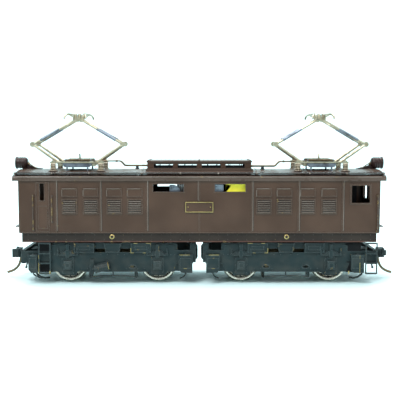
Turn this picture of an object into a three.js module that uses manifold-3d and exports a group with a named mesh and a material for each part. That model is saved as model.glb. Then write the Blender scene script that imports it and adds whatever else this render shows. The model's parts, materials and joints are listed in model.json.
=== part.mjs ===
// A brass model of a box-cab electric locomotive, 1:80 on 16.5 mm gauge track.
// Millimetres, +Z up, +X along the locomotive, origin under its middle at the wheel flanges.

import * as THREE from "three";
import { mergeVertices } from "three/addons/utils/BufferGeometryUtils.js";
import Module from "manifold-3d";

const wasm = await Module();
wasm.setup();

// ---- driving dimensions -------------------------------------------------------------

const BODY_X = 76;            // half length of the body shell
const BODY_Y = 17;            // half width of the body shell
const BODY_BOTTOM = 22;
const BODY_TOP = 44;
const WALL = 0.8;
const DETAIL = 0.3;           // how far seams and frames stand out of the body side

const ROOF_X = 78;
const EAVE_Y = 17.8;
const EAVE_TOP = 45.8;
const ROOF_CREST = 48.2;
const ROOF_SHELL = 1.6;        // thickness of the roof casting
const WALK_BOTTOM = 47;
const WALK_TOP = 47.5;

const SILL_X = 74.6;
const SILL_Y = 16.4;
const SILL_BOTTOM = 18.1;
const FLOOR_BOTTOM = 20.6;
const TURNTABLE_R = 9.35;     // openings in the floor above the bogies

const MONITOR_X = 22.3;
const MONITOR_Y = 8;
const MONITOR_BASE = 48.5;
const MONITOR_TOP = 52;
const SEAT_X = 23;            // raised seat of the monitor on the roof
const SEAT_Y = 8.8;
const STRAP_HALF = 0.4;       // half width of straps and brackets

const BOGIE_X = 36.7;         // bogie pivots, from the middle of the locomotive
const AXLE_X = 19;            // axles, from the bogie pivot
const AXLE_Z = 8.2;
const TREAD_R = 7.5;
const FLANGE_R = 8.2;
const WHEEL_INNER_Y = 7.2;
const WHEEL_OUTER_Y = 10.2;
const AXLE_R = 1.3;
const FRAME_INNER_Y = 14;
const FRAME_OUTER_Y = 15;
const INNER_END_R = 36;       // inner end beam, an arc about the bogie pivot
const INNER_END_X = 34.1;
const OUTER_END_X = 37.4;

const AXLE_GEAR_R = 4.55;
const IDLER_X = 8.8;
const IDLER_R = 5.3;
const WORM_WHEEL_Z = 17.5;
const WORM_WHEEL_R = 7.1;
const SHAFT_Z = 27.2;         // motor shaft and worms
const WORM_R = 2.2;
const GEAR_HALF_WIDTH = 1.4;

const COUPLER_Z = 11.2;
const COUPLER_PIVOT_X = 32.5; // coupler pivot, from the bogie pivot
const KNUCKLE_X = 44.3;
const KNUCKLE_Y = 1.9;

const PANTOGRAPH_X = 52.4;
const BASE_PIVOT_X = 7.3;
const BASE_PIVOT_Z = 50.6;
const LOWER_ARM = 14.73;
const LOWER_ANGLE = THREE.MathUtils.degToRad(34.8);
const APEX_X = 1.2;
const ELBOW_X = BASE_PIVOT_X + LOWER_ARM * Math.cos(LOWER_ANGLE);
const ELBOW_Z = BASE_PIVOT_Z + LOWER_ARM * Math.sin(LOWER_ANGLE);
const APEX_Z = ELBOW_Z + 10.58;
const STRIP_Z = APEX_Z + 2.5;

// ---- materials ----------------------------------------------------------------------

function metal(color, roughness, metalness) {
  return new THREE.MeshStandardMaterial({ color, roughness, metalness });
}

const MATERIALS = {
  brown: metal(0x5a3e38, 0.45, 0.1),
  brownRoof: metal(0x6b4a40, 0.5, 0.1),
  black: metal(0x2b3234, 0.6, 0.2),
  sill: metal(0x57504c, 0.5, 0.1),
  nickel: metal(0xc9c3b4, 0.25, 1),
  brass: metal(0xb59a5b, 0.35, 1),
  bronze: metal(0x7d6a4f, 0.4, 1),
  steel: metal(0x9a9c9e, 0.35, 1),
  ceramic: metal(0xe6dfcf, 0.3, 0),
  glass: metal(0xd8dde0, 0.1, 0),
  paper: metal(0xf2e313, 0.7, 0),
  gear: metal(0xe8e4d8, 0.5, 0),
};

// ---- solids: making, joining and cutting ------------------------------------------------

function toSolid(geometry) {
  const bare = geometry.clone();
  bare.deleteAttribute("normal");
  bare.deleteAttribute("uv");
  const merged = mergeVertices(bare, 1e-4);
  const mesh = new wasm.Mesh({
    numProp: 3,
    vertProperties: new Float32Array(merged.attributes.position.array),
    triVerts: new Uint32Array(merged.index.array),
  });
  return new wasm.Manifold(mesh);
}

function toGeometry(solid) {
  const mesh = solid.getMesh();
  const geometry = new THREE.BufferGeometry();
  const positions = new Float32Array(mesh.vertProperties);
  geometry.setAttribute("position", new THREE.BufferAttribute(positions, 3));
  geometry.setIndex(new THREE.BufferAttribute(new Uint32Array(mesh.triVerts), 1));
  geometry.computeVertexNormals();
  return geometry;
}

function join(solids) {
  return solids.flat().reduce((whole, piece) => whole.add(piece));
}

function cut(solid, holes) {
  return holes.flat().reduce((rest, hole) => rest.subtract(hole), solid);
}

function block(x0, x1, y0, y1, z0, z1) {
  const geometry = new THREE.BoxGeometry(x1 - x0, y1 - y0, z1 - z0);
  geometry.translate((x0 + x1) / 2, (y0 + y1) / 2, (z0 + z1) / 2);
  return toSolid(geometry);
}

function rod(from, to, radius, sides = 10, endRadius = radius) {
  const start = new THREE.Vector3(...from);
  const end = new THREE.Vector3(...to);
  const along = end.clone().sub(start);
  const geometry = new THREE.CylinderGeometry(endRadius, radius, along.length(), sides);
  const up = new THREE.Vector3(0, 1, 0);
  geometry.applyQuaternion(new THREE.Quaternion().setFromUnitVectors(up, along.normalize()));
  geometry.translate(...start.add(end).multiplyScalar(0.5).toArray());
  return toSolid(geometry);
}

function polygon(points) {
  return new THREE.Shape(points.map(([x, y]) => new THREE.Vector2(x, y)));
}

function mirrored(points) {
  const other = points.map(([x, y]) => [-x, y]).reverse();
  return polygon([...points, ...other]);
}

function disc(radius, x = 0, y = 0) {
  const shape = new THREE.Shape();
  shape.absarc(x, y, radius, 0, 2 * Math.PI);
  return shape;
}

function roundedRectangle(halfX, halfY, radius) {
  const shape = new THREE.Shape();
  shape.moveTo(halfX, -halfY + radius);
  shape.absarc(halfX - radius, halfY - radius, radius, 0, Math.PI / 2);
  shape.absarc(-halfX + radius, halfY - radius, radius, Math.PI / 2, Math.PI);
  shape.absarc(-halfX + radius, -halfY + radius, radius, Math.PI, 1.5 * Math.PI);
  shape.absarc(halfX - radius, -halfY + radius, radius, 1.5 * Math.PI, 2 * Math.PI);
  return shape;
}

function extrude(shape, depth, curveSegments) {
  return new THREE.ExtrudeGeometry(shape, { depth, bevelEnabled: false, curveSegments });
}

// The shape's x and y become X and Y.
function plateXY(shape, z0, z1, segments = 6) {
  const geometry = extrude(shape, z1 - z0, segments);
  geometry.translate(0, 0, z0);
  return toSolid(geometry);
}

// The shape's x and y become X and Z.
function plateXZ(shape, y0, y1, segments = 6) {
  const geometry = extrude(shape, y1 - y0, segments);
  geometry.rotateX(Math.PI / 2);
  geometry.translate(0, y1, 0);
  return toSolid(geometry);
}

// The shape's x and y become Y and Z.
function plateYZ(shape, x0, x1, segments = 6) {
  const geometry = extrude(shape, x1 - x0, segments);
  geometry.applyMatrix4(new THREE.Matrix4().set(0, 0, 1, 0, 1, 0, 0, 0, 0, 1, 0, 0, 0, 0, 0, 1));
  geometry.translate(x0, 0, 0);
  return toSolid(geometry);
}

// A profile of [radius, height] points turned about the Y axis.
function turned(profile, segments = 20) {
  const points = profile.map(([r, h]) => new THREE.Vector2(r, h));
  return toSolid(new THREE.LatheGeometry(points, segments));
}

function turnedAboutX(profile, segments = 20) {
  return turned(profile, segments).rotate([0, 0, -90]);
}

function turnedAboutZ(profile, segments = 20) {
  return turned(profile, segments).rotate([90, 0, 0]);
}

function halfTurn(solid) {
  return solid.rotate([0, 0, 180]);
}

function bothSides(solid) {
  return [solid, solid.mirror([0, 1, 0])];
}

function sweep(curve, radius, sides, steps) {
  const section = new THREE.Shape();
  for (let i = 0; i < sides; i += 1) {
    const angle = (2 * Math.PI * i) / sides;
    const point = [radius * Math.cos(angle), radius * Math.sin(angle)];
    if (i === 0) section.moveTo(...point);
    else section.lineTo(...point);
  }
  const geometry = new THREE.ExtrudeGeometry(section, { steps, extrudePath: curve, curveSegments: 1 });
  return toSolid(geometry);
}

// ---- body shell ----------------------------------------------------------------------------

const SIDE_WINDOW = { inner: 6.5, outer: 19.3, bottom: 39.4, top: 42.6 };
const SEAMS = [-60, -41.5, -22, 22, 41.5, 60];
const LOUVRES = [27, 35.6, 45.4, 54.3];
const LOUVRE_HALF = 3.2;
const LOUVRE_BOTTOM = 30;
const LOUVRE_TOP = 36.4;
const BLANK_BOTTOM = 37.4;
const BLANK_TOP = 40.8;
const DOOR = { left: -68.4, right: -62.7, bottom: 22.6, top: 43.4 };
const DOOR_WINDOW = { left: -66.75, right: -64.9, bottom: 35.7, top: 42.9 };
const CAB_WINDOW = { left: 63.5, right: 71.6, bottom: 34.5, top: 42.25 };
const END_WINDOW_INNER = 6.4;
const END_WINDOW_OUTER = 13.6;
const END_DOOR_HALF = 3.4;
const STEP_X = 80.5;

function wallFrame(x0, x1, z0, z1, width) {
  const outer = block(x0, x1, -BODY_Y - DETAIL, -BODY_Y + 0.1, z0, z1);
  const inner = block(x0 + width, x1 - width, -BODY_Y - 1, -BODY_Y + 1, z0 + width, z1 - width);
  return outer.subtract(inner);
}

function seam(x, z0, z1) {
  return block(x - 0.25, x + 0.25, -BODY_Y - DETAIL, -BODY_Y + 0.1, z0, z1);
}

// A louvred panel below a blanked window, both standing a little out of the side.
function louvre(x) {
  const panel = (z0, z1) =>
    block(x - LOUVRE_HALF, x + LOUVRE_HALF, -BODY_Y - DETAIL, -BODY_Y + 0.1, z0, z1);
  return [panel(LOUVRE_BOTTOM, LOUVRE_TOP), panel(BLANK_BOTTOM, BLANK_TOP)];
}

function handrail(x, z0, z1) {
  const y = -BODY_Y - 0.9;
  return [
    rod([x, y, z0], [x, y, z1], 0.22, 6),
    rod([x, y, z0 + 0.3], [x, -BODY_Y + 0.1, z0 + 0.3], 0.22, 6),
    rod([x, y, z1 - 0.3], [x, -BODY_Y + 0.1, z1 - 0.3], 0.22, 6),
  ];
}

// One side's raised detail; the other side is this one turned half a turn about Z.
function sideDetail() {
  const fold = 0.4;
  const edge = 0.4;
  const { left, right, bottom, top } = CAB_WINDOW;
  return join([
    SEAMS.map((x) => seam(x, BODY_BOTTOM + fold, BODY_TOP)),
    seam(0, BODY_BOTTOM + fold, 30.4),
    seam(0, 35.6, BODY_TOP),
    block(-BODY_X + 1, BODY_X - 1, -BODY_Y - DETAIL, -BODY_Y + 0.1, BODY_BOTTOM, BODY_BOTTOM + fold),
    LOUVRES.flatMap((x) => [...louvre(-x), ...louvre(x)]),
    wallFrame(DOOR.left, DOOR.right, DOOR.bottom, DOOR.top, 0.35),
    wallFrame(left - edge, right + edge, bottom - edge, top + edge, edge),
    rod([-63.7, -BODY_Y + 0.1, 31], [-63.7, -BODY_Y - 0.8, 31], 0.35, 8),
    handrail(-69.5, 23, 38),
    handrail(-61.6, 26.5, 38),
    handrail(74.6, 22.6, 38),
  ]);
}

function sideHoles() {
  const y0 = -BODY_Y - 2;
  const y1 = -BODY_Y + 2;
  const { inner, outer, bottom, top } = SIDE_WINDOW;
  return [
    block(inner, outer, y0, y1, bottom, top),
    block(-outer, -inner, y0, y1, bottom, top),
    block(DOOR_WINDOW.left, DOOR_WINDOW.right, y0, y1, DOOR_WINDOW.bottom, DOOR_WINDOW.top),
    block(CAB_WINDOW.left, CAB_WINDOW.right, y0, y1, CAB_WINDOW.bottom, CAB_WINDOW.top),
  ];
}

// The end at +X: two windows beside a door with its own window, and a step plate.
function endHoles() {
  const x0 = BODY_X - 2;
  const x1 = BODY_X + 2;
  const { bottom, top } = CAB_WINDOW;
  return [
    ...bothSides(block(x0, x1, END_WINDOW_INNER, END_WINDOW_OUTER, bottom, top)),
    block(x0, x1, -2.1, 2.1, bottom, top),
  ];
}

function endDetail() {
  const x0 = BODY_X - 0.1;
  const x1 = BODY_X + DETAIL;
  const railX = BODY_X + 1;
  return join([
    bothSides(block(x0, x1, END_DOOR_HALF, END_DOOR_HALF + 0.5, BODY_BOTTOM + 0.6, BODY_TOP)),
    block(BODY_X - 0.4, STEP_X, -END_DOOR_HALF, END_DOOR_HALF, 22.9, 23.4),
    bothSides(join([
      rod([railX, 5, 24], [railX, 5, 38], 0.22, 6),
      rod([BODY_X - 0.1, 5, 24.3], [railX, 5, 24.3], 0.22, 6),
      rod([BODY_X - 0.1, 5, 37.7], [railX, 5, 37.7], 0.22, 6),
    ])),
  ]);
}

function bodyShell() {
  const outer = plateXY(roundedRectangle(BODY_X, BODY_Y, 1.2), BODY_BOTTOM, BODY_TOP, 3);
  const cavity = roundedRectangle(BODY_X - WALL, BODY_Y - WALL, 0.5);
  const inner = plateXY(cavity, BODY_BOTTOM - 1, BODY_TOP + 1, 2);
  const walls = cut(outer, [inner]);
  const side = sideDetail();
  const end = endDetail();
  const dressed = join([walls, side, halfTurn(side), end, halfTurn(end)]);
  const holes = [...sideHoles(), ...endHoles()];
  return cut(dressed, [holes, holes.map(halfTurn)]);
}

// ---- roof, monitor and walkways --------------------------------------------------------------

function roofHeight(y) {
  return ROOF_CREST - (ROOF_CREST - EAVE_TOP) * (y / EAVE_Y) ** 2;
}

function roofProfile(inset) {
  const half = EAVE_Y - inset;
  const points = [[half, BODY_TOP - (inset > 0 ? 1 : 0)], [half, EAVE_TOP - 0.6 - inset]];
  const steps = 7;
  for (let i = steps; i > 0; i -= 1) {
    const y = ((half - 0.5) * i) / steps;
    points.push([y, roofHeight(y) - inset]);
  }
  return mirrored(points);
}

function roof() {
  const skin = plateYZ(roofProfile(0), -ROOF_X, ROOF_X);
  const hollow = plateYZ(roofProfile(ROOF_SHELL), -ROOF_X + 2.4, ROOF_X - 2.4);
  const seat = block(-SEAT_X, SEAT_X, -SEAT_Y, SEAT_Y, WALK_BOTTOM, MONITOR_BASE);
  return join([cut(skin, [hollow]), seat]);
}

function monitor() {
  const wall = 0.6;
  const box = block(-MONITOR_X, MONITOR_X, -MONITOR_Y, MONITOR_Y, MONITOR_BASE, MONITOR_TOP);
  const insideX = MONITOR_X - wall;
  const insideY = MONITOR_Y - wall;
  const inside = block(-insideX, insideX, -insideY, insideY, MONITOR_BASE - 1, MONITOR_TOP - wall);
  const slots = [-15.4, -5.2, 5.2, 15.4].map((x) =>
    block(x - 4.1, x + 4.1, -MONITOR_Y - 1, MONITOR_Y + 1, 48.9, 50.8));
  const lidX = MONITOR_X + 0.3;
  const lidY = MONITOR_Y + 0.4;
  const lid = block(-lidX, lidX, -lidY, lidY, 51.4, MONITOR_TOP);
  const straps = [-21.8, 0, 21.8].map((x) =>
    block(x - STRAP_HALF, x + STRAP_HALF, -lidY, lidY, MONITOR_TOP - 0.1, MONITOR_TOP + 0.35));
  return join([cut(box, [inside, slots]), lid, straps]);
}

function roofWalk() {
  const board = block(-77.4, 77.4, -17.4, -13.7, WALK_BOTTOM, WALK_TOP);
  const brackets = [-77, -61.5, -46, -24, -7.9, 7.9, 24, 46, 61.5, 77].map((x) =>
    block(x - STRAP_HALF, x + STRAP_HALF, -17.2, -14, roofHeight(14) + 0.02, WALK_BOTTOM + 0.1));
  return join([board, brackets]);
}

// ---- underframe, drive motor and roof fittings --------------------------------------------------

function underframe() {
  const rail = 1;
  const slab = block(-SILL_X, SILL_X, -SILL_Y, SILL_Y, SILL_BOTTOM, BODY_BOTTOM);
  const hollow = block(
    -SILL_X + rail, SILL_X - rail, -SILL_Y + rail, SILL_Y - rail, SILL_BOTTOM - 1, FLOOR_BOTTOM);
  const turntables = [-BOGIE_X, BOGIE_X].map((x) =>
    plateXY(disc(TURNTABLE_R, x), FLOOR_BOTTOM - 1, BODY_BOTTOM + 1, 8));
  const screw = rod([BOGIE_X, -SILL_Y + 0.2, 20.4], [BOGIE_X, -SILL_Y - 0.6, 20.4], 0.8, 12, 0.6);
  const screws = [screw, screw.mirror([1, 0, 0])].flatMap(bothSides);
  return join([cut(slab, [hollow, turntables]), screws]);
}

function motorCase() {
  const outline = polygon([[-12.7, 22], [11, 22], [11, 42], [-9, 42], [-12.7, 38.5]]);
  const bore = rod([-14, 0, SHAFT_Z], [14, 0, SHAFT_Z], 1.5, 16);
  return cut(plateXZ(outline, -9, 9), [bore]);
}

function motorInsulation() {
  const outline = polygon([
    [11.2, 32], [12, 32], [12, 41.6], [18.9, 41.6], [18.9, 37], [19.7, 37], [19.7, 42.4], [11.2, 42.4]]);
  return plateXZ(outline, -7.5, 7.5);
}

function numberPlate() {
  const y = -BODY_Y;
  const base = block(-5.85, 5.85, y - 0.4, y, 30.8, 35.2);
  const border = block(-5.85, 5.85, y - 0.65, y - 0.3, 30.8, 35.2);
  const field = block(-5.35, 5.35, y - 1, y, 31.3, 34.7);
  return join([base, border.subtract(field)]);
}

const LAMP = { back: 75.3, front: 80.4, z: 50.85, r: 2.45 };

function headlight() {
  const { back, front, z, r } = LAMP;
  const casing = turnedAboutX([
    [0, back], [r - 0.7, back], [r, back + 0.9], [r, front - 0.9], [r + 0.2, front - 0.6],
    [r + 0.2, front], [r - 0.2, front], [r - 0.6, front - 1.6], [0, front - 1.6]], 16);
  const outline = polygon([
    [69.6, ROOF_CREST], [77.2, ROOF_CREST], [77.2, 49.6], [75.6, 50.4], [75, 50.4]]);
  const stay = plateXZ(outline, -0.5, 0.5);
  const foot = block(69, 77.4, -1.4, 1.4, ROOF_CREST, ROOF_CREST + 0.35);
  return join([casing.translate([0, 0, z]), stay, foot]);
}

function headlightLens() {
  const { front, z, r } = LAMP;
  const lens = turnedAboutX([
    [0, front - 1.5], [r - 0.75, front - 1.5], [r - 0.55, front - 1], [0, front - 0.3]], 16);
  return lens.translate([0, 0, z]);
}

function busBar() {
  const end = PANTOGRAPH_X - TRAY_X;
  const z = 49.6;
  const y = -3;
  const top = 51.6;
  return join([
    rod([MONITOR_X, y, z], [33, y, z], 0.3, 8),
    rod([32.8, y, z - 0.1], [34.8, y, top + 0.1], 0.3, 8),
    rod([34.6, y, top], [end, y, top], 0.3, 8),
    rod([27.5, y, roofHeight(2) + 0.05], [27.5, y, z], 0.75, 10),
  ]);
}

// ---- drive train --------------------------------------------------------------------------------

const CUP_START = 22.9;
const CUP_END = 28.2;
const CUP_R = 2.4;
const CUP_OUTER_R = 3;
const FLYWHEEL_START = 12.6;
const FLYWHEEL_END = 19;
const FLYWHEEL_R = 4.4;
const SHAFT_R = 1;

function driveShaft() {
  const profile = [
    [0, -CUP_START], [CUP_R, -CUP_START], [CUP_R, -CUP_END], [CUP_OUTER_R, -CUP_END],
    [CUP_OUTER_R, -CUP_START + 0.8], [SHAFT_R, -CUP_START + 0.8], [SHAFT_R, FLYWHEEL_START],
    [FLYWHEEL_R, FLYWHEEL_START], [FLYWHEEL_R, FLYWHEEL_END], [SHAFT_R, FLYWHEEL_END],
    [SHAFT_R, CUP_START - 0.8], [CUP_OUTER_R, CUP_START - 0.8], [CUP_OUTER_R, CUP_END],
    [CUP_R, CUP_END], [CUP_R, CUP_START], [0, CUP_START]];
  return turnedAboutX(profile, 12).translate([0, 0, SHAFT_Z]);
}

function gearOutline(radius, teeth) {
  const points = [];
  const root = radius - 0.5;
  for (let i = 0; i < teeth; i += 1) {
    [[root, 0.05], [radius, 0.25], [radius, 0.5], [root, 0.7]].forEach(([r, phase]) => {
      const angle = (2 * Math.PI * (i + phase)) / teeth;
      points.push([r * Math.cos(angle), r * Math.sin(angle)]);
    });
  }
  return polygon(points);
}

// A gear about the Y axis on its own stub axle.
function gearWheel(radius, teeth, halfAxle) {
  const rim = plateXZ(gearOutline(radius, teeth), -GEAR_HALF_WIDTH, GEAR_HALF_WIDTH);
  return join([rim, rod([0, -halfAxle, 0], [0, halfAxle, 0], 0.8, 8)]);
}

function wormShaft() {
  const profile = [[0, -8.6], [SHAFT_R, -8.6], [SHAFT_R, -5.6], [WORM_R - 0.5, -5.6]];
  const threads = 3;
  for (let i = 0; i < threads; i += 1) {
    const x = -5 + (i * 10) / threads;
    profile.push([WORM_R - 0.5, x], [WORM_R, x + 0.6], [WORM_R, x + 1], [WORM_R - 0.5, x + 1.6]);
  }
  profile.push([WORM_R - 0.5, 5.6], [SHAFT_R, 5.6], [SHAFT_R - 0.3, 8.2], [1.1, 8.8], [1.1, 9.6], [0, 10.1]);
  return turnedAboutX(profile, 8);
}

function wheelset() {
  const side = [
    [AXLE_R, WHEEL_INNER_Y], [FLANGE_R, WHEEL_INNER_Y], [TREAD_R + 0.15, WHEEL_INNER_Y + 0.9],
    [TREAD_R, WHEEL_OUTER_Y], [TREAD_R - 1.2, WHEEL_OUTER_Y], [TREAD_R - 1.2, WHEEL_OUTER_Y - 0.6],
    [AXLE_R, WHEEL_OUTER_Y - 0.6], [AXLE_R, 13.8], [0, 13.8]];
  const otherSide = side.map(([r, y]) => [r, -y]).reverse();
  const wheels = turned([...otherSide, ...side], 16);
  const gear = plateXZ(gearOutline(AXLE_GEAR_R, 9), -GEAR_HALF_WIDTH, GEAR_HALF_WIDTH);
  return join([wheels, gear]);
}

function gearHousing() {
  const towerX = 7.9;
  const inner = WORM_R + 0.3;
  const outer = inner + 0.9;
  const towerTop = 30.8;
  const plate = mirrored([[24.9, 4], [24.9, 12.2], [towerX + 3, 13.8], [towerX, 14.4], [towerX, towerTop]]);
  const side = plateXZ(plate, inner - 0.1, outer);
  const walls = [-1, 1].map((end) => block(end * 24.4 - 0.5, end * 24.4 + 0.5, -outer, outer, 4, 12.2));
  const bearings = [-7.1, 7.1].map((x) => block(x - 0.8, x + 0.8, -outer, outer, 25.2, towerTop));
  const lid = block(-towerX, towerX, -outer, outer, 30.1, towerTop);
  const ears = bothSides(block(-4, 4, outer - 0.2, 6.6, 14, 15));
  const axleHoles = [-AXLE_X, AXLE_X].map((x) => rod([x, -9, AXLE_Z], [x, 9, AXLE_Z], AXLE_R + 0.25, 10));
  const stubHoles = [[-IDLER_X, AXLE_Z], [IDLER_X, AXLE_Z], [0, WORM_WHEEL_Z]].map(([x, z]) =>
    rod([x, -9, z], [x, 9, z], 1.05, 8));
  const wormHole = rod([-12, 0, SHAFT_Z], [12, 0, SHAFT_Z], SHAFT_R + 0.25, 8);
  const shell = join([bothSides(side), walls, bearings, lid, ears]);
  return cut(shell, [axleHoles, stubHoles, wormHole]);
}

// ---- bogie frame: local to the pivot, outer end towards -X -------------------------------------

function sideOutline() {
  const shape = polygon([
    [-OUTER_END_X, 9], [-27, 9], [-25.5, 5.2], [-23, 5.2], [-22.2, 3.7], [-15.8, 3.7], [-15, 5.2],
    [15, 5.2], [15.8, 3.7], [22.2, 3.7], [23, 5.2], [25.5, 5.2], [27, 8.8], [INNER_END_X, 8.8],
    [INNER_END_X, 14.4], [26, 14.4], [26, 16.4], [19.6, 17.7], [16.2, 17.7], [16.2, 13.5],
    [-16.2, 13.5], [-16.2, 17.7], [-19.6, 17.7], [-26, 16.4], [-26, 14], [-OUTER_END_X, 14]]);
  [-8.4, 8.4].forEach((x) => {
    const hole = new THREE.Path();
    hole.absellipse(x, 7.4, 1.3, 0.6, 0, 2 * Math.PI);
    shape.holes.push(hole);
  });
  return shape;
}

// Everything that both side frames carry, on the -Y side.
function sideFrame() {
  const face = -FRAME_OUTER_Y;
  const axles = [-AXLE_X, AXLE_X];
  return join([
    plateXZ(sideOutline(), face, -FRAME_INNER_Y, 3),
    axles.map((x) => block(x - 1.75, x + 1.75, face - 1.2, face + 0.1, AXLE_Z - 1.9, AXLE_Z + 1.9)),
    axles.map((x) => block(x - 2.6, x + 2.6, face - 0.5, face + 0.1, 4.4, 11.4)),
    axles.map((x) => block(x - 0.6, x + 0.6, face - 0.9, face + 0.1, 11.2, 17)),
    [-12, 12].map((x) => block(x - 4.25, x + 4.25, face - 0.5, -12.6, 13.4, 17.6)),
    plateXZ(mirrored([[2.9, 13.4], [3.8, 17.6]]), face - 0.3, -12.6),
    bogieSandBox(INNER_END_X - 6.1, INNER_END_X - 0.3),
    brakeHanger(-9.6),
    brakeHanger(9.6),
  ]);
}

function bogieSandBox(x0, x1) {
  const shape = polygon([[x0, 6.4], [x0 + 1.2, 5], [x1, 5], [x1, 12.6], [x0, 12.6]]);
  return plateXZ(shape, -FRAME_OUTER_Y - 1.7, -FRAME_OUTER_Y + 0.1);
}

// A brake block beside the wheel, on a hanger soldered to the side frame.
function brakeHanger(x) {
  const inward = Math.sign(x);
  return [
    block(x - 0.7 * inward - 0.5, x - 0.7 * inward + 0.5, -10, -7.7, 4.6, 9.4),
    block(x - 0.5, x + 0.5, -14.8, -9.2, 2.6, 5.6),
  ];
}

function ladder(x0, x1) {
  const y = -FRAME_OUTER_Y - 1.5;
  const stringers = [x0, x1].map((x) => block(x - 0.25, x + 0.25, y - 0.25, y + 0.25, 4.6, 17.8));
  const treads = [4.8, 17.6].map((z) => block(x0, x1, y - 0.25, y + 0.25, z - 0.2, z + 0.2));
  const ties = [9.1, 13.3].map((z) => block(x0, x1, y, -FRAME_INNER_Y - 0.2, z - 0.2, z + 0.2));
  return [stringers, treads, ties].flat();
}

function brakeCylinder() {
  const y = -FRAME_OUTER_Y - 0.9;
  return [
    rod([-7.4, y, 6.6], [-2, y, 7.9], 1.9, 10),
    rod([-2.1, y, 7.87], [-1.5, y, 8.02], 2.1, 10),
    rod([-8.4, y, 6.36], [-7.3, y, 6.62], 0.8, 8),
    block(-9.4, -8, y - 0.4, -FRAME_OUTER_Y + 0.1, 4.4, 10.5),
  ];
}

function innerEndBeam() {
  const shape = new THREE.Shape();
  const span = Math.asin(13.5 / INNER_END_R);
  shape.absarc(0, 0, INNER_END_R, -span, span);
  shape.absarc(0, 0, INNER_END_R - 1.3, span, -span, true);
  const ties = bothSides(block(31, INNER_END_X, -14.2, -11, 9.2, 14));
  return [plateXY(shape, 9.2, 14, 4), ...ties];
}

function couplerPocket() {
  const pocket = block(-OUTER_END_X - 1.4, -29.4, -4.2, 4.2, 9.2, 13.4);
  const slot = block(-OUTER_END_X - 3, -30.2, -3, 3, 10.2, 12.4);
  const pin = rod([-COUPLER_PIVOT_X - 0.1, 0, 9.6], [-COUPLER_PIVOT_X - 0.1, 0, 13], 0.7, 12);
  return join([pocket.subtract(slot), pin]);
}

function bogieFrame() {
  const side = sideFrame();
  const nearOnly = join([brakeCylinder(), ladder(-30.9, -26.2), bogieSandBox(-35.5, -31.7)]);
  const farOnly = join([ladder(33.6, 38.2), bogieSandBox(27.4, 32.9)]);
  const bolster = block(-10.2, 10.2, -14.2, 14.2, 15, 17.6);
  const bearing = plateXY(disc(11.5), 17.5, 20.3, 8);
  const towerHole = plateXY(disc(8.95), 14, 21, 8);
  const beam = block(-OUTER_END_X - 1.4, -OUTER_END_X + 0.2, -FRAME_INNER_Y, FRAME_INNER_Y, 8.6, 14.4);
  const cheeks = bothSides(block(-OUTER_END_X - 1.4, -OUTER_END_X + 0.2, -15, -13.8, 8.9, 14.1));
  const beamSlot = block(-OUTER_END_X - 3, -OUTER_END_X + 2, -3, 3, 10.2, 12.4);
  const centre = cut(join([bolster, bearing]), [towerHole]);
  const ends = join([cut(beam, [beamSlot]), cheeks, couplerPocket(), innerEndBeam()]);
  return join([side, side.mirror([0, 1, 0]), nearOnly, halfTurn(farOnly), centre, ends]);
}

// ---- couplers, local to the bogie pivot -----------------------------------------------------------

function coupler() {
  const shankEnd = -42.6;
  const shank = cut(
    join([
      plateXY(disc(1.9), COUPLER_Z - 0.6, COUPLER_Z + 0.6, 10),
      block(shankEnd + COUPLER_PIVOT_X, 0, -1.1, 1.1, COUPLER_Z - 0.6, COUPLER_Z + 0.6),
    ]),
    [plateXY(disc(1), COUPLER_Z - 2, COUPLER_Z + 2, 10)]);
  const outline = polygon([
    [-42, -2.6], [-42, 1.1], [-43.2, 1.1], [-43.4, -1.2], [-45.2, -2], [-45.6, -3.1], [-43, -3.1]]);
  const head = plateXY(outline, COUPLER_Z - 1.8, COUPLER_Z + 1.9);
  const ear = polygon([
    [-42, 0.6], [-42, 2.8], [-KNUCKLE_X - 0.2, 2.8], [-KNUCKLE_X - 0.7, 1.9], [-KNUCKLE_X, 0.8]]);
  const lugs = [COUPLER_Z - 1.8, COUPLER_Z + 1.3].map((z) => plateXY(ear, z, z + 0.6));
  const pinAt = (z) => [-KNUCKLE_X, KNUCKLE_Y, z];
  const pin = rod(pinAt(COUPLER_Z - 1.5), pinAt(COUPLER_Z + 1.6), 0.35, 10);
  const shift = [COUPLER_PIVOT_X, 0, 0];
  return join([shank, join([head, lugs, pin]).translate(shift)]);
}

function knuckle() {
  const outline = polygon([
    [0.5, 0.9], [-0.9, 0.9], [-1.6, 0], [-1.7, -1.9], [-0.9, -2.1], [-0.7, -0.7], [0.5, -0.7]]);
  const jaw = plateXY(outline, COUPLER_Z - 1, COUPLER_Z + 1.1);
  return cut(jaw, [plateXY(disc(0.62), COUPLER_Z - 3, COUPLER_Z + 3, 10)]);
}

function tripPin() {
  const curve = new THREE.CubicBezierCurve3(
    new THREE.Vector3(-42.5, 0, COUPLER_Z - 1.85), new THREE.Vector3(-42.9, 0, 4.6),
    new THREE.Vector3(-45, 0, 3.2), new THREE.Vector3(-48.6, 0, 2.3));
  return sweep(curve, 0.4, 8, 10).translate([COUPLER_PIVOT_X, 0, 0]);
}

// ---- pantographs, local to the middle of their base --------------------------------------------

const TRAY_X = 5.8;
const RAIL_Y = 8.2;
const INSULATOR_X = 10.2;
const INSULATOR_TOP = 51;
const LOWER_Y = 5.7;
const UPPER_FOOT_Y = 4.6;
const UPPER_HEAD_Y = 3.5;
const TUBE_R = 0.42;

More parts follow.
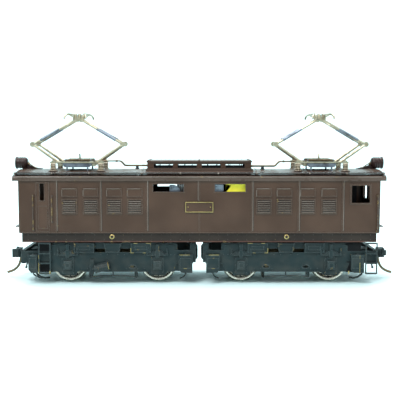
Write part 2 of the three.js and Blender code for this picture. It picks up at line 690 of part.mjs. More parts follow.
function insulatorPair() {
  const strip = block(-0.9, 0.9, -9.4, 9.4, ROOF_CREST, ROOF_CREST + 0.5);
  const padBottom = roofHeight(RAIL_Y - 0.6) + 0.02;
  const pads = bothSides(block(-0.9, 0.9, RAIL_Y - 0.6, RAIL_Y + 1, padBottom, ROOF_CREST + 0.1));
  const z0 = ROOF_CREST + 0.45;
  const pitch = (INSULATOR_TOP - z0) / 3;
  const profile = [[0, z0]];
  for (let i = 0; i < 3; i += 1) {
    const z = z0 + i * pitch;
    profile.push([1.1, z], [1.7, z + 0.45 * pitch]);
  }
  profile.push([1.1, INSULATOR_TOP], [0, INSULATOR_TOP]);
  const insulator = turnedAboutZ(profile, 8).translate([0, RAIL_Y, 0]);
  return join([strip, pads, bothSides(insulator)]);
}

function pantographBase() {
  const railZ = INSULATOR_TOP;
  const railEnd = INSULATOR_X + 1.3;
  const lugX = BASE_PIVOT_X;
  const rails = bothSides(block(-railEnd, railEnd, RAIL_Y - 0.4, RAIL_Y + 0.4, railZ, railZ + 0.7));
  const ends = [-1, 1].map((end) =>
    block(end * (TRAY_X - 0.4) - 0.4, end * (TRAY_X - 0.4) + 0.4, -RAIL_Y, RAIL_Y, railZ + 0.1, railZ + 0.7));
  const lug = bothSides(block(lugX - 0.95, lugX + 0.95, 6.6, RAIL_Y - 0.2, BASE_PIVOT_Z - 0.9, railZ + 0.7));
  const hole = rod([lugX, -9.5, BASE_PIVOT_Z], [lugX, 9.5, BASE_PIVOT_Z], 0.65, 8);
  const lugs = [lug, lug.map((piece) => piece.mirror([1, 0, 0]))].flat();
  const holes = [hole, hole.mirror([1, 0, 0])];
  const tray = block(-TRAY_X, TRAY_X, -5, 5, railZ + 0.1, railZ + 0.7);
  const springs = bothSides(rod([-5.4, 2.4, railZ + 1.1], [5.4, 2.4, railZ + 1.1], 0.55, 6));
  const hook = join([
    rod([0, 0, railZ + 0.5], [0, 0, railZ + 4.2], 0.3, 5),
    rod([0, 0, railZ + 3.8], [0, 1, railZ + 4.2], 0.28, 5),
  ]);
  return cut(join([rails, ends, lugs, tray, springs, hook]), holes);
}

// The arm on the +X side, about its own base shaft and its own elbow.
function lowerArm() {
  const dx = ELBOW_X - BASE_PIVOT_X;
  const dz = ELBOW_Z - BASE_PIVOT_Z;
  const shaft = rod([0, -8.6, 0], [0, 8.6, 0], 0.45, 6);
  const tubes = bothSides(rod([0, LOWER_Y, 0], [dx, LOWER_Y, dz], TUBE_R + 0.1, 6, TUBE_R - 0.05));
  const elbow = rod([dx, -6.5, dz], [dx, 6.5, dz], 0.4, 6);
  const knuckles = bothSides(rod([dx, LOWER_Y - 0.4, dz], [dx, LOWER_Y + 0.4, dz], 0.9, 8));
  const horn = rod([0, 0, 0], [-0.5, 0, 1.4], 0.35, 5);
  return join([shaft, tubes, elbow, knuckles, horn]);
}

function upperArm() {
  const dx = APEX_X - ELBOW_X;
  const dz = APEX_Z - ELBOW_Z;
  const at = (part, y) => [dx * part, y, dz * part];
  const width = (part) => UPPER_FOOT_Y + (UPPER_HEAD_Y - UPPER_FOOT_Y) * part;
  const sleeves = bothSides(rod([0, UPPER_FOOT_Y - 0.4, 0], [0, UPPER_FOOT_Y + 0.4, 0], 0.85, 8));
  const bore = rod([0, -6, 0], [0, 6, 0], 0.58, 8);
  const tubes = bothSides(rod(at(0.02, width(0)), at(1, width(1)), TUBE_R, 6, TUBE_R - 0.08));
  const apex = rod([dx, -5.4, dz], [dx, 5.4, dz], 0.35, 6);
  const knuckles = bothSides(rod([dx, UPPER_HEAD_Y - 0.35, dz], [dx, UPPER_HEAD_Y + 0.35, dz], 0.65, 8));
  const stay = rod(at(0.32, -width(0.32)), at(0.32, width(0.32)), 0.25, 4);
  return cut(join([sleeves, tubes, apex, knuckles, stay]), [bore]);
}

const HORN_Y = 8;
const HORN_END_Y = 11.5;

// The collector head, about the middle between the two apex pivots.
function pantographHead() {
  const lift = STRIP_Z - APEX_Z;
  const half = 3.75;
  const strip = (x) => {
    const z = lift;
    const outline = mirrored([
      [HORN_Y, z - 0.35], [HORN_END_Y, z - 2.4], [HORN_END_Y + 0.3, z - 2.1], [HORN_Y + 0.2, z + 0.25]]);
    return plateYZ(outline, x - 0.55, x + 0.55);
  };
  const link = bothSides(block(-half - 0.4, half + 0.4, 4.5, 5, lift - 0.9, lift));
  const bracket = bothSides(plateXZ(
    mirrored([[2.4, -0.9], [2.7, 0.2], [1.6, lift - 0.5]]), 4.5, 5));
  // The inner arm's pivot has a slot, so that the folding frame never binds.
  const pivots = [APEX_X, -APEX_X + 0.1, -APEX_X - 0.35].map((x) => rod([x, -6, 0], [x, 6, 0], 0.62, 8));
  return cut(join([strip(-half), strip(half), link, bracket]), pivots);
}

// ---- assembly -------------------------------------------------------------------------------------

const locomotive = new THREE.Group();
const geometries = new Map();

// Adds a named mesh; a shape that is used again keeps one geometry.
function add(parent, name, shape, material, place = {}) {
  if (!geometries.has(shape)) geometries.set(shape, toGeometry(shape()));
  const mesh = new THREE.Mesh(geometries.get(shape), MATERIALS[material]);
  mesh.name = name;
  mesh.position.set(...(place.at ?? [0, 0, 0]));
  mesh.rotation.z = place.turned ? Math.PI : 0;
  parent.add(mesh);
}

function addBody() {
  add(locomotive, "body_shell", bodyShell, "brown");
  add(locomotive, "roof_panel", roof, "brownRoof");
  add(locomotive, "roof_monitor", monitor, "brown");
  add(locomotive, "roof_walk_near", roofWalk, "black");
  add(locomotive, "roof_walk_far", roofWalk, "black", { turned: true });
  add(locomotive, "underframe", underframe, "sill");
  add(locomotive, "motor_case", motorCase, "steel");
  add(locomotive, "motor_insulation", motorInsulation, "paper");
  add(locomotive, "drive_shaft", driveShaft, "steel");
  add(locomotive, "number_plate_near", numberPlate, "brass");
  add(locomotive, "number_plate_far", numberPlate, "brass", { turned: true });
  ["right", "left"].forEach((end) => {
    const place = { turned: end === "left" };
    add(locomotive, `headlight_${end}`, headlight, "brown", place);
    add(locomotive, `headlight_lens_${end}`, headlightLens, "glass", place);
    add(locomotive, `bus_bar_${end}`, busBar, "brass", place);
  });
}

function addBogie(end) {
  const bogie = new THREE.Group();
  const side = end === "left" ? -1 : 1;
  bogie.position.x = side * BOGIE_X;
  bogie.rotation.z = side < 0 ? 0 : Math.PI;
  locomotive.add(bogie);
  add(bogie, `bogie_frame_${end}`, bogieFrame, "black");
  add(bogie, `gear_housing_${end}`, gearHousing, "brass");
  add(bogie, `wheelset_outer_${end}`, wheelset, "nickel", { at: [-AXLE_X, 0, AXLE_Z] });
  add(bogie, `wheelset_inner_${end}`, wheelset, "nickel", { at: [AXLE_X, 0, AXLE_Z] });
  add(bogie, `idler_gear_outer_${end}`, idlerGear, "gear", { at: [-IDLER_X, 0, AXLE_Z] });
  add(bogie, `idler_gear_inner_${end}`, idlerGear, "gear", { at: [IDLER_X, 0, AXLE_Z] });
  add(bogie, `worm_wheel_${end}`, wormWheel, "gear", { at: [0, 0, WORM_WHEEL_Z] });
  add(bogie, `worm_shaft_${end}`, wormShaft, "brass", { at: [0, 0, SHAFT_Z] });
  add(bogie, `coupler_${end}`, coupler, "black", { at: [-COUPLER_PIVOT_X, 0, 0] });
  add(bogie, `coupler_knuckle_${end}`, knuckle, "black", { at: [-KNUCKLE_X, KNUCKLE_Y, 0] });
  add(bogie, `trip_pin_${end}`, tripPin, "bronze", { at: [-COUPLER_PIVOT_X, 0, 0] });
}

function idlerGear() {
  return gearWheel(IDLER_R, 10, 3.2);
}

function wormWheel() {
  return gearWheel(WORM_WHEEL_R, 14, 3.2);
}

function addPantograph(end) {
  const pantograph = new THREE.Group();
  const side = end === "left" ? -1 : 1;
  pantograph.position.x = side * PANTOGRAPH_X;
  pantograph.rotation.z = side < 0 ? Math.PI : 0;
  locomotive.add(pantograph);
  add(pantograph, `pantograph_base_${end}`, pantographBase, "brass");
  [["outer", 1], ["inner", -1]].forEach(([place, way]) => {
    const placed = (x, z) => ({ at: [way * x, 0, z], turned: way < 0 });
    const base = placed(INSULATOR_X, 0);
    const foot = placed(BASE_PIVOT_X, BASE_PIVOT_Z);
    const elbow = placed(ELBOW_X, ELBOW_Z);
    add(pantograph, `insulators_${place}_${end}`, insulatorPair, "ceramic", base);
    add(pantograph, `lower_arm_${place}_${end}`, lowerArm, "nickel", foot);
    add(pantograph, `upper_arm_${place}_${end}`, upperArm, "nickel", elbow);
  });
  add(pantograph, `pantograph_head_${end}`, pantographHead, "nickel", { at: [0, 0, APEX_Z] });
}

addBody();
["left", "right"].forEach(addBogie);
["left", "right"].forEach(addPantograph);

export default locomotive;
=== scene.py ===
"""A brass model of a box-cab electric locomotive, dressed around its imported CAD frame."""
import json
from math import cos, pi, radians, sin, tau

import bmesh
import bpy
from mathutils import Matrix, Vector


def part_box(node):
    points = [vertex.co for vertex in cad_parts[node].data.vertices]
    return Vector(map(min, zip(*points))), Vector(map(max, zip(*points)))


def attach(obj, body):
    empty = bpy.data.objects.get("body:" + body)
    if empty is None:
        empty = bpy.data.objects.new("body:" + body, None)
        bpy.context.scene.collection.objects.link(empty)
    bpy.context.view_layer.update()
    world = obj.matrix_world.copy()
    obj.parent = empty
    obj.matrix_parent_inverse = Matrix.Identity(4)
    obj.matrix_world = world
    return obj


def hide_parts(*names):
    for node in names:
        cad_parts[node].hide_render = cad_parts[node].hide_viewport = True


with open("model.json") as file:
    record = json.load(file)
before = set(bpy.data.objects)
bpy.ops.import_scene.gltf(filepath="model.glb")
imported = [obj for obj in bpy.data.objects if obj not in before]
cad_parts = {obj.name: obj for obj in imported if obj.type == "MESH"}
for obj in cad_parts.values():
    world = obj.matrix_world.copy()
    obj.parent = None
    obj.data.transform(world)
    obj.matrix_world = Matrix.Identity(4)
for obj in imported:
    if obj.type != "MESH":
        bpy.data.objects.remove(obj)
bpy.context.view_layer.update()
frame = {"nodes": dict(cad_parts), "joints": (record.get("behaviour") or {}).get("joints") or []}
NODES = frame["nodes"]
JOINTS = {joint["name"]: joint for joint in frame["joints"]}
MM = 0.001                    # metres in a millimetre
BOTH = (-1, 1)                # the two sides of the middle
ENDS = (("left", -1), ("right", 1))
PLACES = ("outer", "inner")
SIDES = (("near", 1), ("far", -1))


# ---- node materials ----

class Paint:
    """A material's node tree, with short calls for the nodes that every finish shares."""

    def __init__(self, name, metallic=0.0, ior=1.5, coat=0.0):
        self.material = bpy.data.materials.new(name)
        self.material.use_nodes = True
        self.tree = self.material.node_tree
        self.shader = self.tree.nodes["Principled BSDF"]
        self.shader.inputs["Metallic"].default_value = metallic
        self.shader.inputs["IOR"].default_value = ior
        self.shader.inputs["Coat Weight"].default_value = coat
        self.place = self.tree.nodes.new("ShaderNodeTexCoord").outputs["Object"]

    def node(self, kind, **values):
        made = self.tree.nodes.new(kind)
        for key, value in values.items():
            setattr(made, key, value)
        return made

    def link(self, output, node, name):
        self.tree.links.new(output, node.inputs[name])

    def scaled(self, scale):
        mapping = self.node("ShaderNodeMapping")
        mapping.inputs["Scale"].default_value = scale
        self.link(self.place, mapping, "Vector")
        return mapping.outputs["Vector"]

    def noise(self, scale, detail=3.0, stretch=None):
        made = self.node("ShaderNodeTexNoise")
        made.inputs["Scale"].default_value = scale
        made.inputs["Detail"].default_value = detail
        self.link(self.scaled(stretch) if stretch else self.place, made, "Vector")
        return made.outputs["Fac"]

    def voronoi(self, scale):
        made = self.node("ShaderNodeTexVoronoi")
        made.inputs["Scale"].default_value = scale
        self.link(self.place, made, "Vector")
        return made.outputs["Distance"]

    def ramp(self, source, low, high):
        """A smooth step from 0 at low to 1 at high."""
        made = self.node("ShaderNodeMapRange", interpolation_type="SMOOTHSTEP")
        made.inputs["From Min"].default_value = low
        made.inputs["From Max"].default_value = high
        self.link(source, made, "Value")
        return made.outputs["Result"]

    def spread(self, source, low, high, lowest=0.3, highest=0.7):
        made = self.node("ShaderNodeMapRange")
        made.inputs["From Min"].default_value = lowest
        made.inputs["From Max"].default_value = highest
        made.inputs["To Min"].default_value = low
        made.inputs["To Max"].default_value = high
        self.link(source, made, "Value")
        return made.outputs["Result"]

    def math(self, operation, first, second):
        made = self.node("ShaderNodeMath", operation=operation)
        for index, value in enumerate((first, second)):
            if isinstance(value, (int, float)):
                made.inputs[index].default_value = value
            else:
                self.tree.links.new(value, made.inputs[index])
        return made.outputs["Value"]

    def mix(self, factor, first, second):
        made = self.node("ShaderNodeMix", data_type="RGBA")
        self.link(factor, made, "Factor")
        for name, value in (("A", first), ("B", second)):
            socket = next(s for s in made.inputs if s.name == name and s.type == "RGBA")
            if isinstance(value, tuple):
                socket.default_value = (*value, 1.0)
            else:
                self.tree.links.new(value, socket)
        return next(s for s in made.outputs if s.type == "RGBA")

    def axis(self, name):
        split = self.node("ShaderNodeSeparateXYZ")
        self.link(self.place, split, "Vector")
        return split.outputs[name]

    def edges(self, radius, low=0.004, high=0.06):
        """1 along sharp edges, where paint wears, handling polishes and the paler painted highlight goes."""
        bevel = self.node("ShaderNodeBevel", samples=4)
        bevel.inputs["Radius"].default_value = radius
        geometry = self.node("ShaderNodeNewGeometry")
        dot = self.node("ShaderNodeVectorMath", operation="DOT_PRODUCT")
        self.tree.links.new(bevel.outputs["Normal"], dot.inputs[0])
        self.tree.links.new(geometry.outputs["True Normal"], dot.inputs[1])
        return self.ramp(self.math("SUBTRACT", 1.0, dot.outputs["Value"]), low, high)

    def bump(self, *layers):
        """Each layer is (height, strength, distance in metres)."""
        normal = None
        for height, strength, distance in layers:
            made = self.node("ShaderNodeBump")
            made.inputs["Strength"].default_value = strength
            made.inputs["Distance"].default_value = distance
            self.link(height, made, "Height")
            if normal is not None:
                self.link(normal, made, "Normal")
            normal = made.outputs["Normal"]
        self.link(normal, self.shader, "Normal")

    def finish(self, color, roughness, metallic=None):
        self.link(color, self.shader, "Base Color")
        self.link(roughness, self.shader, "Roughness")
        if metallic is not None:
            self.link(metallic, self.shader, "Metallic")
        return self.material


BRASS = (0.42, 0.30, 0.12)
DUST = (0.10, 0.095, 0.08)
CHIP_AND_HIGHLIGHT_RADIUS = 0.00018         # metres of edge that rubbing and the painted edge highlight reach
EDGE_HIGHLIGHT_STRENGTH = 0.5


# lip is the colour of the painted highlight laid along edges.
def worn_paint(name, dark, light, rough, chip=0.62, ior=1.33, lip=(0.17, 0.145, 0.125)):
    """Sprayed paint on brass: mottled, dusty low down, with a paler painted highlight on edges, and brass
    where they are rubbed.
    """
    paint = Paint(name, ior=ior)
    mottle = paint.noise(260, 4)
    patches = paint.noise(70, 2)
    base = paint.mix(paint.ramp(patches, 0.3, 0.72), dark, light)
    grime = paint.math("MULTIPLY", paint.ramp(paint.axis("Z"), 0.026, 0.002), paint.ramp(mottle, 0.35, 0.75))
    dusty = paint.mix(paint.math("MULTIPLY", grime, 0.22), base, DUST)
    edge = paint.edges(CHIP_AND_HIGHLIGHT_RADIUS)
    rubbed = paint.math("MULTIPLY", edge, paint.ramp(paint.noise(420, 3), chip, chip + 0.06))
    # Painted highlight: the lip colour mixed in along sharp edges, where light catches them.
    edge_highlighted = paint.mix(paint.math("MULTIPLY", edge, EDGE_HIGHLIGHT_STRENGTH), dusty, lip)
    color = paint.mix(rubbed, edge_highlighted, BRASS)
    roughness = paint.spread(mottle, rough - 0.07, rough + 0.1)
    paint.bump((paint.noise(2600, 2), 0.12, 0.00005), (mottle, 0.1, 0.0002))
    return paint.finish(color, roughness, rubbed)


def bare_metal(name, color, dark, rough, scratch=(300, 300, 2600), tarnish=0.5):
    """Turned or drawn metal: fine scratches along it, dull where it has tarnished."""
    paint = Paint(name, metallic=1.0)
    spots = paint.ramp(paint.noise(330, 4), 0.42, 0.78)
    scratches = paint.noise(1.0, 3, scratch)
    tarnished = paint.math("MULTIPLY", spots, tarnish)
    shade = paint.mix(tarnished, color, dark)
    scratched = paint.spread(scratches, rough - 0.06, rough + 0.12)
    roughness = paint.math("ADD", scratched, paint.math("MULTIPLY", tarnished, 0.3))
    paint.bump((scratches, 0.12, 0.00003), (spots, 0.08, 0.00005))
    return paint.finish(shade, roughness)


def glazed(name, color, shade, rough):
    paint = Paint(name, ior=1.5, coat=0.5)
    paint.shader.inputs["Coat Roughness"].default_value = 0.08
    speckle = paint.ramp(paint.voronoi(1500), 0.0, 0.35)
    dirt = paint.ramp(paint.noise(500, 3), 0.5, 0.8)
    tone = paint.mix(paint.math("MULTIPLY", dirt, 0.5), color, shade)
    tone = paint.mix(paint.math("MULTIPLY", paint.math("SUBTRACT", 1.0, speckle), 0.3), tone, shade)
    paint.bump((paint.noise(1800, 2), 0.1, 0.00004))
    return paint.finish(tone, paint.spread(dirt, rough, rough + 0.2, 0, 1))


def plain_grain(name, color, shade, rough, scale=900, stretch=None, ior=1.5):
    """Moulded plastic, paper or fibre, with a fine grain."""
    paint = Paint(name, ior=ior)
    grain = paint.noise(scale, 4, stretch)
    tone = paint.mix(paint.ramp(paint.noise(160, 3), 0.35, 0.7), color, shade)
    paint.bump((grain, 0.25, 0.00004))
    return paint.finish(tone, paint.spread(grain, rough - 0.08, rough + 0.1))


def clear_glass():
    paint = Paint("lens_glass", ior=1.5)
    paint.shader.inputs["Transmission Weight"].default_value = 0.85
    smear = paint.noise(900, 3)
    tint = paint.mix(paint.ramp(smear, 0.4, 0.8), (0.9, 0.93, 0.94), (0.72, 0.76, 0.78))
    paint.bump((paint.noise(2500, 1), 0.06, 0.00003))
    return paint.finish(tint, paint.spread(smear, 0.05, 0.16))


MATERIALS = {
    # Each lip colour below is the painted edge highlight of its paint.
    "body": worn_paint("body_paint", (0.043, 0.022, 0.013), (0.061, 0.033, 0.021), 0.38, chip=0.69),
    "roof": worn_paint("roof_paint", (0.050, 0.030, 0.021), (0.070, 0.046, 0.035), 0.3, chip=0.68, ior=1.42),
    # Pale paint for painted highlights on the seam and louvre lips, the gutter bead and the strap ends.
    "lip": worn_paint("highlight_paint", (0.105, 0.082, 0.066), (0.17, 0.14, 0.12), 0.4, chip=0.66),
    "lamp": worn_paint("lamp_paint", (0.012, 0.005, 0.004), (0.020, 0.010, 0.009), 0.3, chip=0.7,
                       lip=(0.045, 0.028, 0.024)),
    "black": worn_paint("black_paint", (0.0025, 0.011, 0.013), (0.007, 0.019, 0.021), 0.5, chip=0.63,
                        lip=(0.12, 0.145, 0.145)),
    "walk": worn_paint("walkway_paint", (0.010, 0.007, 0.007), (0.018, 0.013, 0.013), 0.2, chip=0.7, ior=1.5),
    "sill": worn_paint("sill_paint", (0.012, 0.007, 0.005), (0.020, 0.013, 0.009), 0.52, chip=0.64),
    "rust": worn_paint("sill_edge_paint", (0.048, 0.018, 0.012), (0.066, 0.028, 0.020), 0.45,
                       lip=(0.09, 0.04, 0.03)),
    "nickel": bare_metal("nickel", (0.45, 0.42, 0.31), (0.16, 0.14, 0.09), 0.3, tarnish=0.75),
    "wheel": bare_metal("wheel_rim", (0.66, 0.64, 0.55), (0.30, 0.27, 0.21), 0.22, (900, 2600, 900), 0.35),
    "gunmetal": bare_metal("gunmetal", (0.21, 0.245, 0.29), (0.05, 0.055, 0.065), 0.36, tarnish=0.8),
    "brass": bare_metal("brass", (0.37, 0.29, 0.12), (0.14, 0.10, 0.045), 0.34),
    "bronze": bare_metal("bronze", (0.15, 0.12, 0.075), (0.05, 0.04, 0.025), 0.38),
    "copper": bare_metal("copper_wire", (0.62, 0.26, 0.13), (0.2, 0.08, 0.05), 0.3, (2600, 400, 400)),
    "steel": bare_metal("motor_steel", (0.56, 0.57, 0.58), (0.20, 0.20, 0.20), 0.34),
    "ceramic": glazed("insulator_glaze", (0.58, 0.53, 0.41), (0.20, 0.17, 0.11), 0.24),
    "paper": plain_grain("insulating_paper", (0.95, 0.88, 0.05), (0.88, 0.78, 0.04), 0.6, 1400,
                         (400, 2600, 400)),
    "fibre": plain_grain("fibre_board", (0.16, 0.07, 0.03), (0.10, 0.045, 0.02), 0.6),
    "gear": plain_grain("gear_plastic", (0.72, 0.70, 0.60), (0.58, 0.55, 0.45), 0.42),
    "rail": worn_paint("handrail_paint", (0.030, 0.017, 0.013), (0.046, 0.028, 0.021), 0.4, chip=0.5),
    # Near-black paint for painted shade: the cab lining, the ventilator's slot strips and the plates behind
    # the footsteps.
    "dark": plain_grain("painted_shade_black", (0.008, 0.009, 0.010), (0.014, 0.014, 0.014), 0.7, ior=1.15),
    "glass": clear_glass(),
}

# ---- mesh pieces ----
# Shapes are written in millimetres in the frame's own axes, and make() scales them to metres.

def box(mesh, x0, x1, y0, y1, z0, z1):
    made = bmesh.ops.create_cube(mesh, size=1.0)
    centre = Vector(((x0 + x1) / 2, (y0 + y1) / 2, (z0 + z1) / 2))
    size = Matrix.Diagonal((abs(x1 - x0), abs(y1 - y0), abs(z1 - z0), 1.0))
    bmesh.ops.transform(mesh, matrix=Matrix.Translation(centre) @ size, verts=made["verts"])
    return made["verts"]


def rod(mesh, start, end, radius, sides=14, end_radius=None):
    start, end = Vector(start), Vector(end)
    along = end - start
    made = bmesh.ops.create_cone(
        mesh, cap_ends=True, segments=sides, radius1=radius,
        radius2=radius if end_radius is None else end_radius, depth=along.length)
    turn = along.to_track_quat("Z", "Y").to_matrix().to_4x4()
    bmesh.ops.transform(mesh, matrix=Matrix.Translation((start + end) / 2) @ turn, verts=made["verts"])
    return made["verts"]


def pin(mesh, centre, half, radius, sides):
    """A rod along Y, with its middle at centre."""
    reach = Vector((0, half, 0))
    rod(mesh, Vector(centre) - reach, Vector(centre) + reach, radius, sides)


def ball(mesh, centre, radius, sides=14):
    made = bmesh.ops.create_uvsphere(mesh, u_segments=sides, v_segments=sides // 2 + 2, radius=radius)
    bmesh.ops.transform(mesh, matrix=Matrix.Translation(centre), verts=made["verts"])


def join_rings(mesh, rings, sides):
    """Faces between neighbouring rings, where a ring may be a single point."""
    for low, high in zip(rings, rings[1:]):
        for step in range(sides):
            following = (step + 1) % sides
            quad = [low[step % len(low)], low[following % len(low)],
                    high[following % len(high)], high[step % len(high)]]
            unique = list(dict.fromkeys(quad))
            if len(unique) > 2:
                mesh.faces.new(unique)


def turned(mesh, profile, centre, axis="Y", sides=48):
    """A closed profile of (radius, height) points turned about an axis through centre."""
    across = {"X": (Vector((0, 1, 0)), Vector((0, 0, 1)), Vector((1, 0, 0))),
              "Y": (Vector((0, 0, 1)), Vector((1, 0, 0)), Vector((0, 1, 0))),
              "Z": (Vector((1, 0, 0)), Vector((0, 1, 0)), Vector((0, 0, 1)))}[axis]
    centre = Vector(centre)
    rings = []
    for radius, height in profile:
        if radius < 1e-6:
            rings.append([mesh.verts.new(centre + across[2] * height)])
            continue
        ring = []
        for step in range(sides):
            angle = tau * step / sides
            offset = across[0] * (radius * cos(angle)) + across[1] * (radius * sin(angle))
            ring.append(mesh.verts.new(centre + offset + across[2] * height))
        rings.append(ring)
    join_rings(mesh, rings, sides)


def swept(mesh, points, radius, sides=12):
    """A round wire through the points, with closed ends."""
    points = [Vector(point) for point in points]
    rings = []
    normal = None
    for index, point in enumerate(points):
        before = points[max(index - 1, 0)]
        after = points[min(index + 1, len(points) - 1)]
        tangent = (after - before).normalized()
        if normal is None:
            guide = Vector((0, 1, 0)) if abs(tangent.y) < 0.9 else Vector((1, 0, 0))
            normal = tangent.cross(guide).normalized()
        normal = (normal - tangent * normal.dot(tangent)).normalized()
        other = tangent.cross(normal)
        size = radius(index / (len(points) - 1)) if callable(radius) else radius
        ring = []
        for step in range(sides):
            angle = tau * step / sides
            ring.append(mesh.verts.new(point + (normal * cos(angle) + other * sin(angle)) * size))
        rings.append(ring)
    join_rings(mesh, rings, sides)
    mesh.faces.new(list(reversed(rings[0])))
    mesh.faces.new(rings[-1])


def prism(mesh, outline, low, high, axis="Y"):
    """A flat outline, in the other two axes' order, pushed from low to high along an axis."""
    def place(point, depth):
        a, b = point
        return {"X": (depth, a, b), "Y": (a, depth, b), "Z": (a, b, depth)}[axis]
    front = [mesh.verts.new(place(point, low)) for point in outline]
    back = [mesh.verts.new(place(point, high)) for point in outline]
    mesh.faces.new(front)
    mesh.faces.new(list(reversed(back)))
    count = len(outline)
    for step in range(count):
        following = (step + 1) % count
        mesh.faces.new((front[step], back[step], back[following], front[following]))


def frame_ring(mesh, x0, x1, z0, z1, width, y0, y1):
    """A raised rectangular frame, facing along Y."""
    box(mesh, x0, x1, y0, y1, z0, z0 + width)
    box(mesh, x0, x1, y0, y1, z1 - width, z1)
    box(mesh, x0, x0 + width, y0, y1, z0 + width, z1 - width)
    box(mesh, x1 - width, x1, y0, y1, z0 + width, z1 - width)


def angles(steps, first=0):
    """Evenly spaced angles of a quarter turn, from the first step to the last."""
    return [pi / 2 * step / steps for step in range(first, steps + 1)]


def turn_half(mesh):
    bmesh.ops.transform(mesh, matrix=Matrix.Rotation(pi, 4, "Z"), verts=mesh.verts)


def placed(build, x, half_turn):
    """A shape written about x = 0, given half a turn where asked and moved to x."""
    def made(mesh):
        build(mesh)
        if half_turn:
            turn_half(mesh)
        bmesh.ops.translate(mesh, vec=(x, 0, 0), verts=mesh.verts)
    return made


def smooth_by_angle(obj, angle=40):
    for polygon in obj.data.polygons:
        polygon.use_smooth = True
    obj.data.set_sharp_from_angle(angle=radians(angle))


def add_object(name, data):
    """A new object for its data, linked to the scene."""
    made = bpy.data.objects.new(name, data)
    bpy.context.scene.collection.objects.link(made)
    return made


def make(name, build, material, body, replaces=(), bevel=0.0):
    """Runs build(mesh) and finishes the piece, riding on its body; bevel is in millimetres."""
    mesh = bmesh.new()
    build(mesh)
    bmesh.ops.scale(mesh, vec=(MM, MM, MM), verts=mesh.verts)
    bmesh.ops.recalc_face_normals(mesh, faces=mesh.faces)
    data = bpy.data.meshes.new(name)
    mesh.to_mesh(data)
    mesh.free()
    piece = add_object(name, data)
    data.materials.append(MATERIALS[material])
    smooth_by_angle(piece)
    if bevel:
        soften(piece, bevel)
    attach(piece, body)
    if replaces:
        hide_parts(*replaces)


def make_rows(rows, end, x=0.0, half_turn=False):
    """A piece for each row: name, build, material, body, slot, bevel and any nodes it replaces."""
    for name, build, material, body, slot, bevel, *nodes in rows:
        ridden = body if body == "carbody" else f"{body}_{end}"
        make(f"{name}_{end}", placed(build, x, half_turn), material, ridden,
             [f"{node}_{end}" for node in nodes], bevel)


def soften(obj, width, segments=2):
    """Rounds the sharp edges, as filed and sprayed metal is."""
    bevel = obj.modifiers.new("edges", "BEVEL")
    bevel.width = width * MM
    bevel.segments = segments
    bevel.limit_method = "ANGLE"
    bevel.angle_limit = radians(38)
    bevel.harden_normals = False


def dress(node, material, bevel=0.0):
    """A CAD node keeps its shape and gets its finish."""
    obj = NODES[node]
    obj.data.materials.clear()
    obj.data.materials.append(MATERIALS[material])
    smooth_by_angle(obj, 30)
    if bevel:
        soften(obj, bevel)


def corners(node):
    """A CAD node's box in millimetres."""
    low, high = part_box(node)
    return [value / MM for value in low], [value / MM for value in high]


def pivot(joint):
    return Vector(JOINTS[joint]["pos_m"]) / MM


# ---- body side and ends ----

WALL_X = corners("underframe")[1][0] + 1.4      # outer face of the end walls
WALL_Y = 17.0                                   # outer face of the side walls
PANEL_Y = WALL_Y + 0.3                          # face of the pressed panels
LOUVRES = [side * centre for side in BOTH for centre in (27, 35.6, 45.4, 54.3)]
LOUVRE_HALF = 3.2             # half a louvre bank's width
SLATS = 7
STRAPS = (-77, -61.5, -46, -24, -7.9, 7.9, 24, 46, 61.5, 77)
SEAMS = (-60, -41.5, -22, 22, 41.5, 60)
LOUVRE_Z = (30.0, 36.4)
SLAT_PITCH = (LOUVRE_Z[1] - LOUVRE_Z[0] - 0.9) / SLATS
BLANK_Z = (37.4, 40.8)
SIDE_WINDOW = (6.5, 19.3, 39.4, 42.6)
SIDE_RIVETS = 49
DOOR = (-68.4, -62.7, 22.6, 43.4)
DOOR_WINDOW = (-66.75, -64.9, 35.7, 42.9)
CAB_WINDOW = (63.5, 71.6, 34.5, 42.25)


def louvre_bank(mesh):
    """The pressed louvres and blanked windows of the near side."""
    for x in LOUVRES:
        x0, x1 = x - LOUVRE_HALF, x + LOUVRE_HALF
        frame_ring(mesh, x0, x1, *LOUVRE_Z, 0.34, -PANEL_Y - 0.16, -PANEL_Y + 0.05)
        frame_ring(mesh, x0, x1, *BLANK_Z, 0.34, -PANEL_Y - 0.16, -PANEL_Y + 0.05)
        for index in range(SLATS):
            z = LOUVRE_Z[0] + 0.5 + index * SLAT_PITCH
            outline = [(-PANEL_Y + 0.05, z), (-PANEL_Y - 0.3, z + 0.06), (-PANEL_Y - 0.34, z + 0.16),
                       (-PANEL_Y + 0.05, z + SLAT_PITCH * 0.7)]
            prism(mesh, outline, x0 + 0.5, x1 - 0.5, "X")


def blank_corners(mesh):
    """Fillets that round the upper corners of the blanked windows, near side."""
    reach = 1.15
    for x in LOUVRES:
        for side in BOTH:
            edge, top = x + side * (LOUVRE_HALF - 0.3), BLANK_Z[1] - 0.3
            outline = [(edge, top)]
            for angle in angles(5):
                outline.append((edge - side * reach * (1 - cos(angle)), top - reach * (1 - sin(angle))))
            prism(mesh, outline, -PANEL_Y - 0.16, -PANEL_Y + 0.05)


def shade_strips(mesh):
    """Painted shade in dark paint: the backs of the louvre banks and the grooves beside the seams, near side.
    """
    for x in LOUVRES:
        box(mesh, x - LOUVRE_HALF + 0.45, x + LOUVRE_HALF - 0.45, -PANEL_Y - 0.1, -PANEL_Y + 0.05,
            LOUVRE_Z[0] + 0.4, LOUVRE_Z[1] - 0.3)
    for x in SEAMS:
        box(mesh, x + 0.56, x + 0.8, -WALL_Y - 0.07, -WALL_Y + 0.1, 23.0, 44.2)


def gutter(mesh):
    """The gutter bead under the eave and the strap ends along the walkway, near side, in pale paint as a
    painted highlight.
    """
    swept(mesh, [(-76, -17.93, 45.6), (0, -17.93, 45.6), (76, -17.93, 45.6)], 0.17, 8)
    for x in STRAPS:
        ball(mesh, (x, -17.45, 47.15), 0.36, 10)


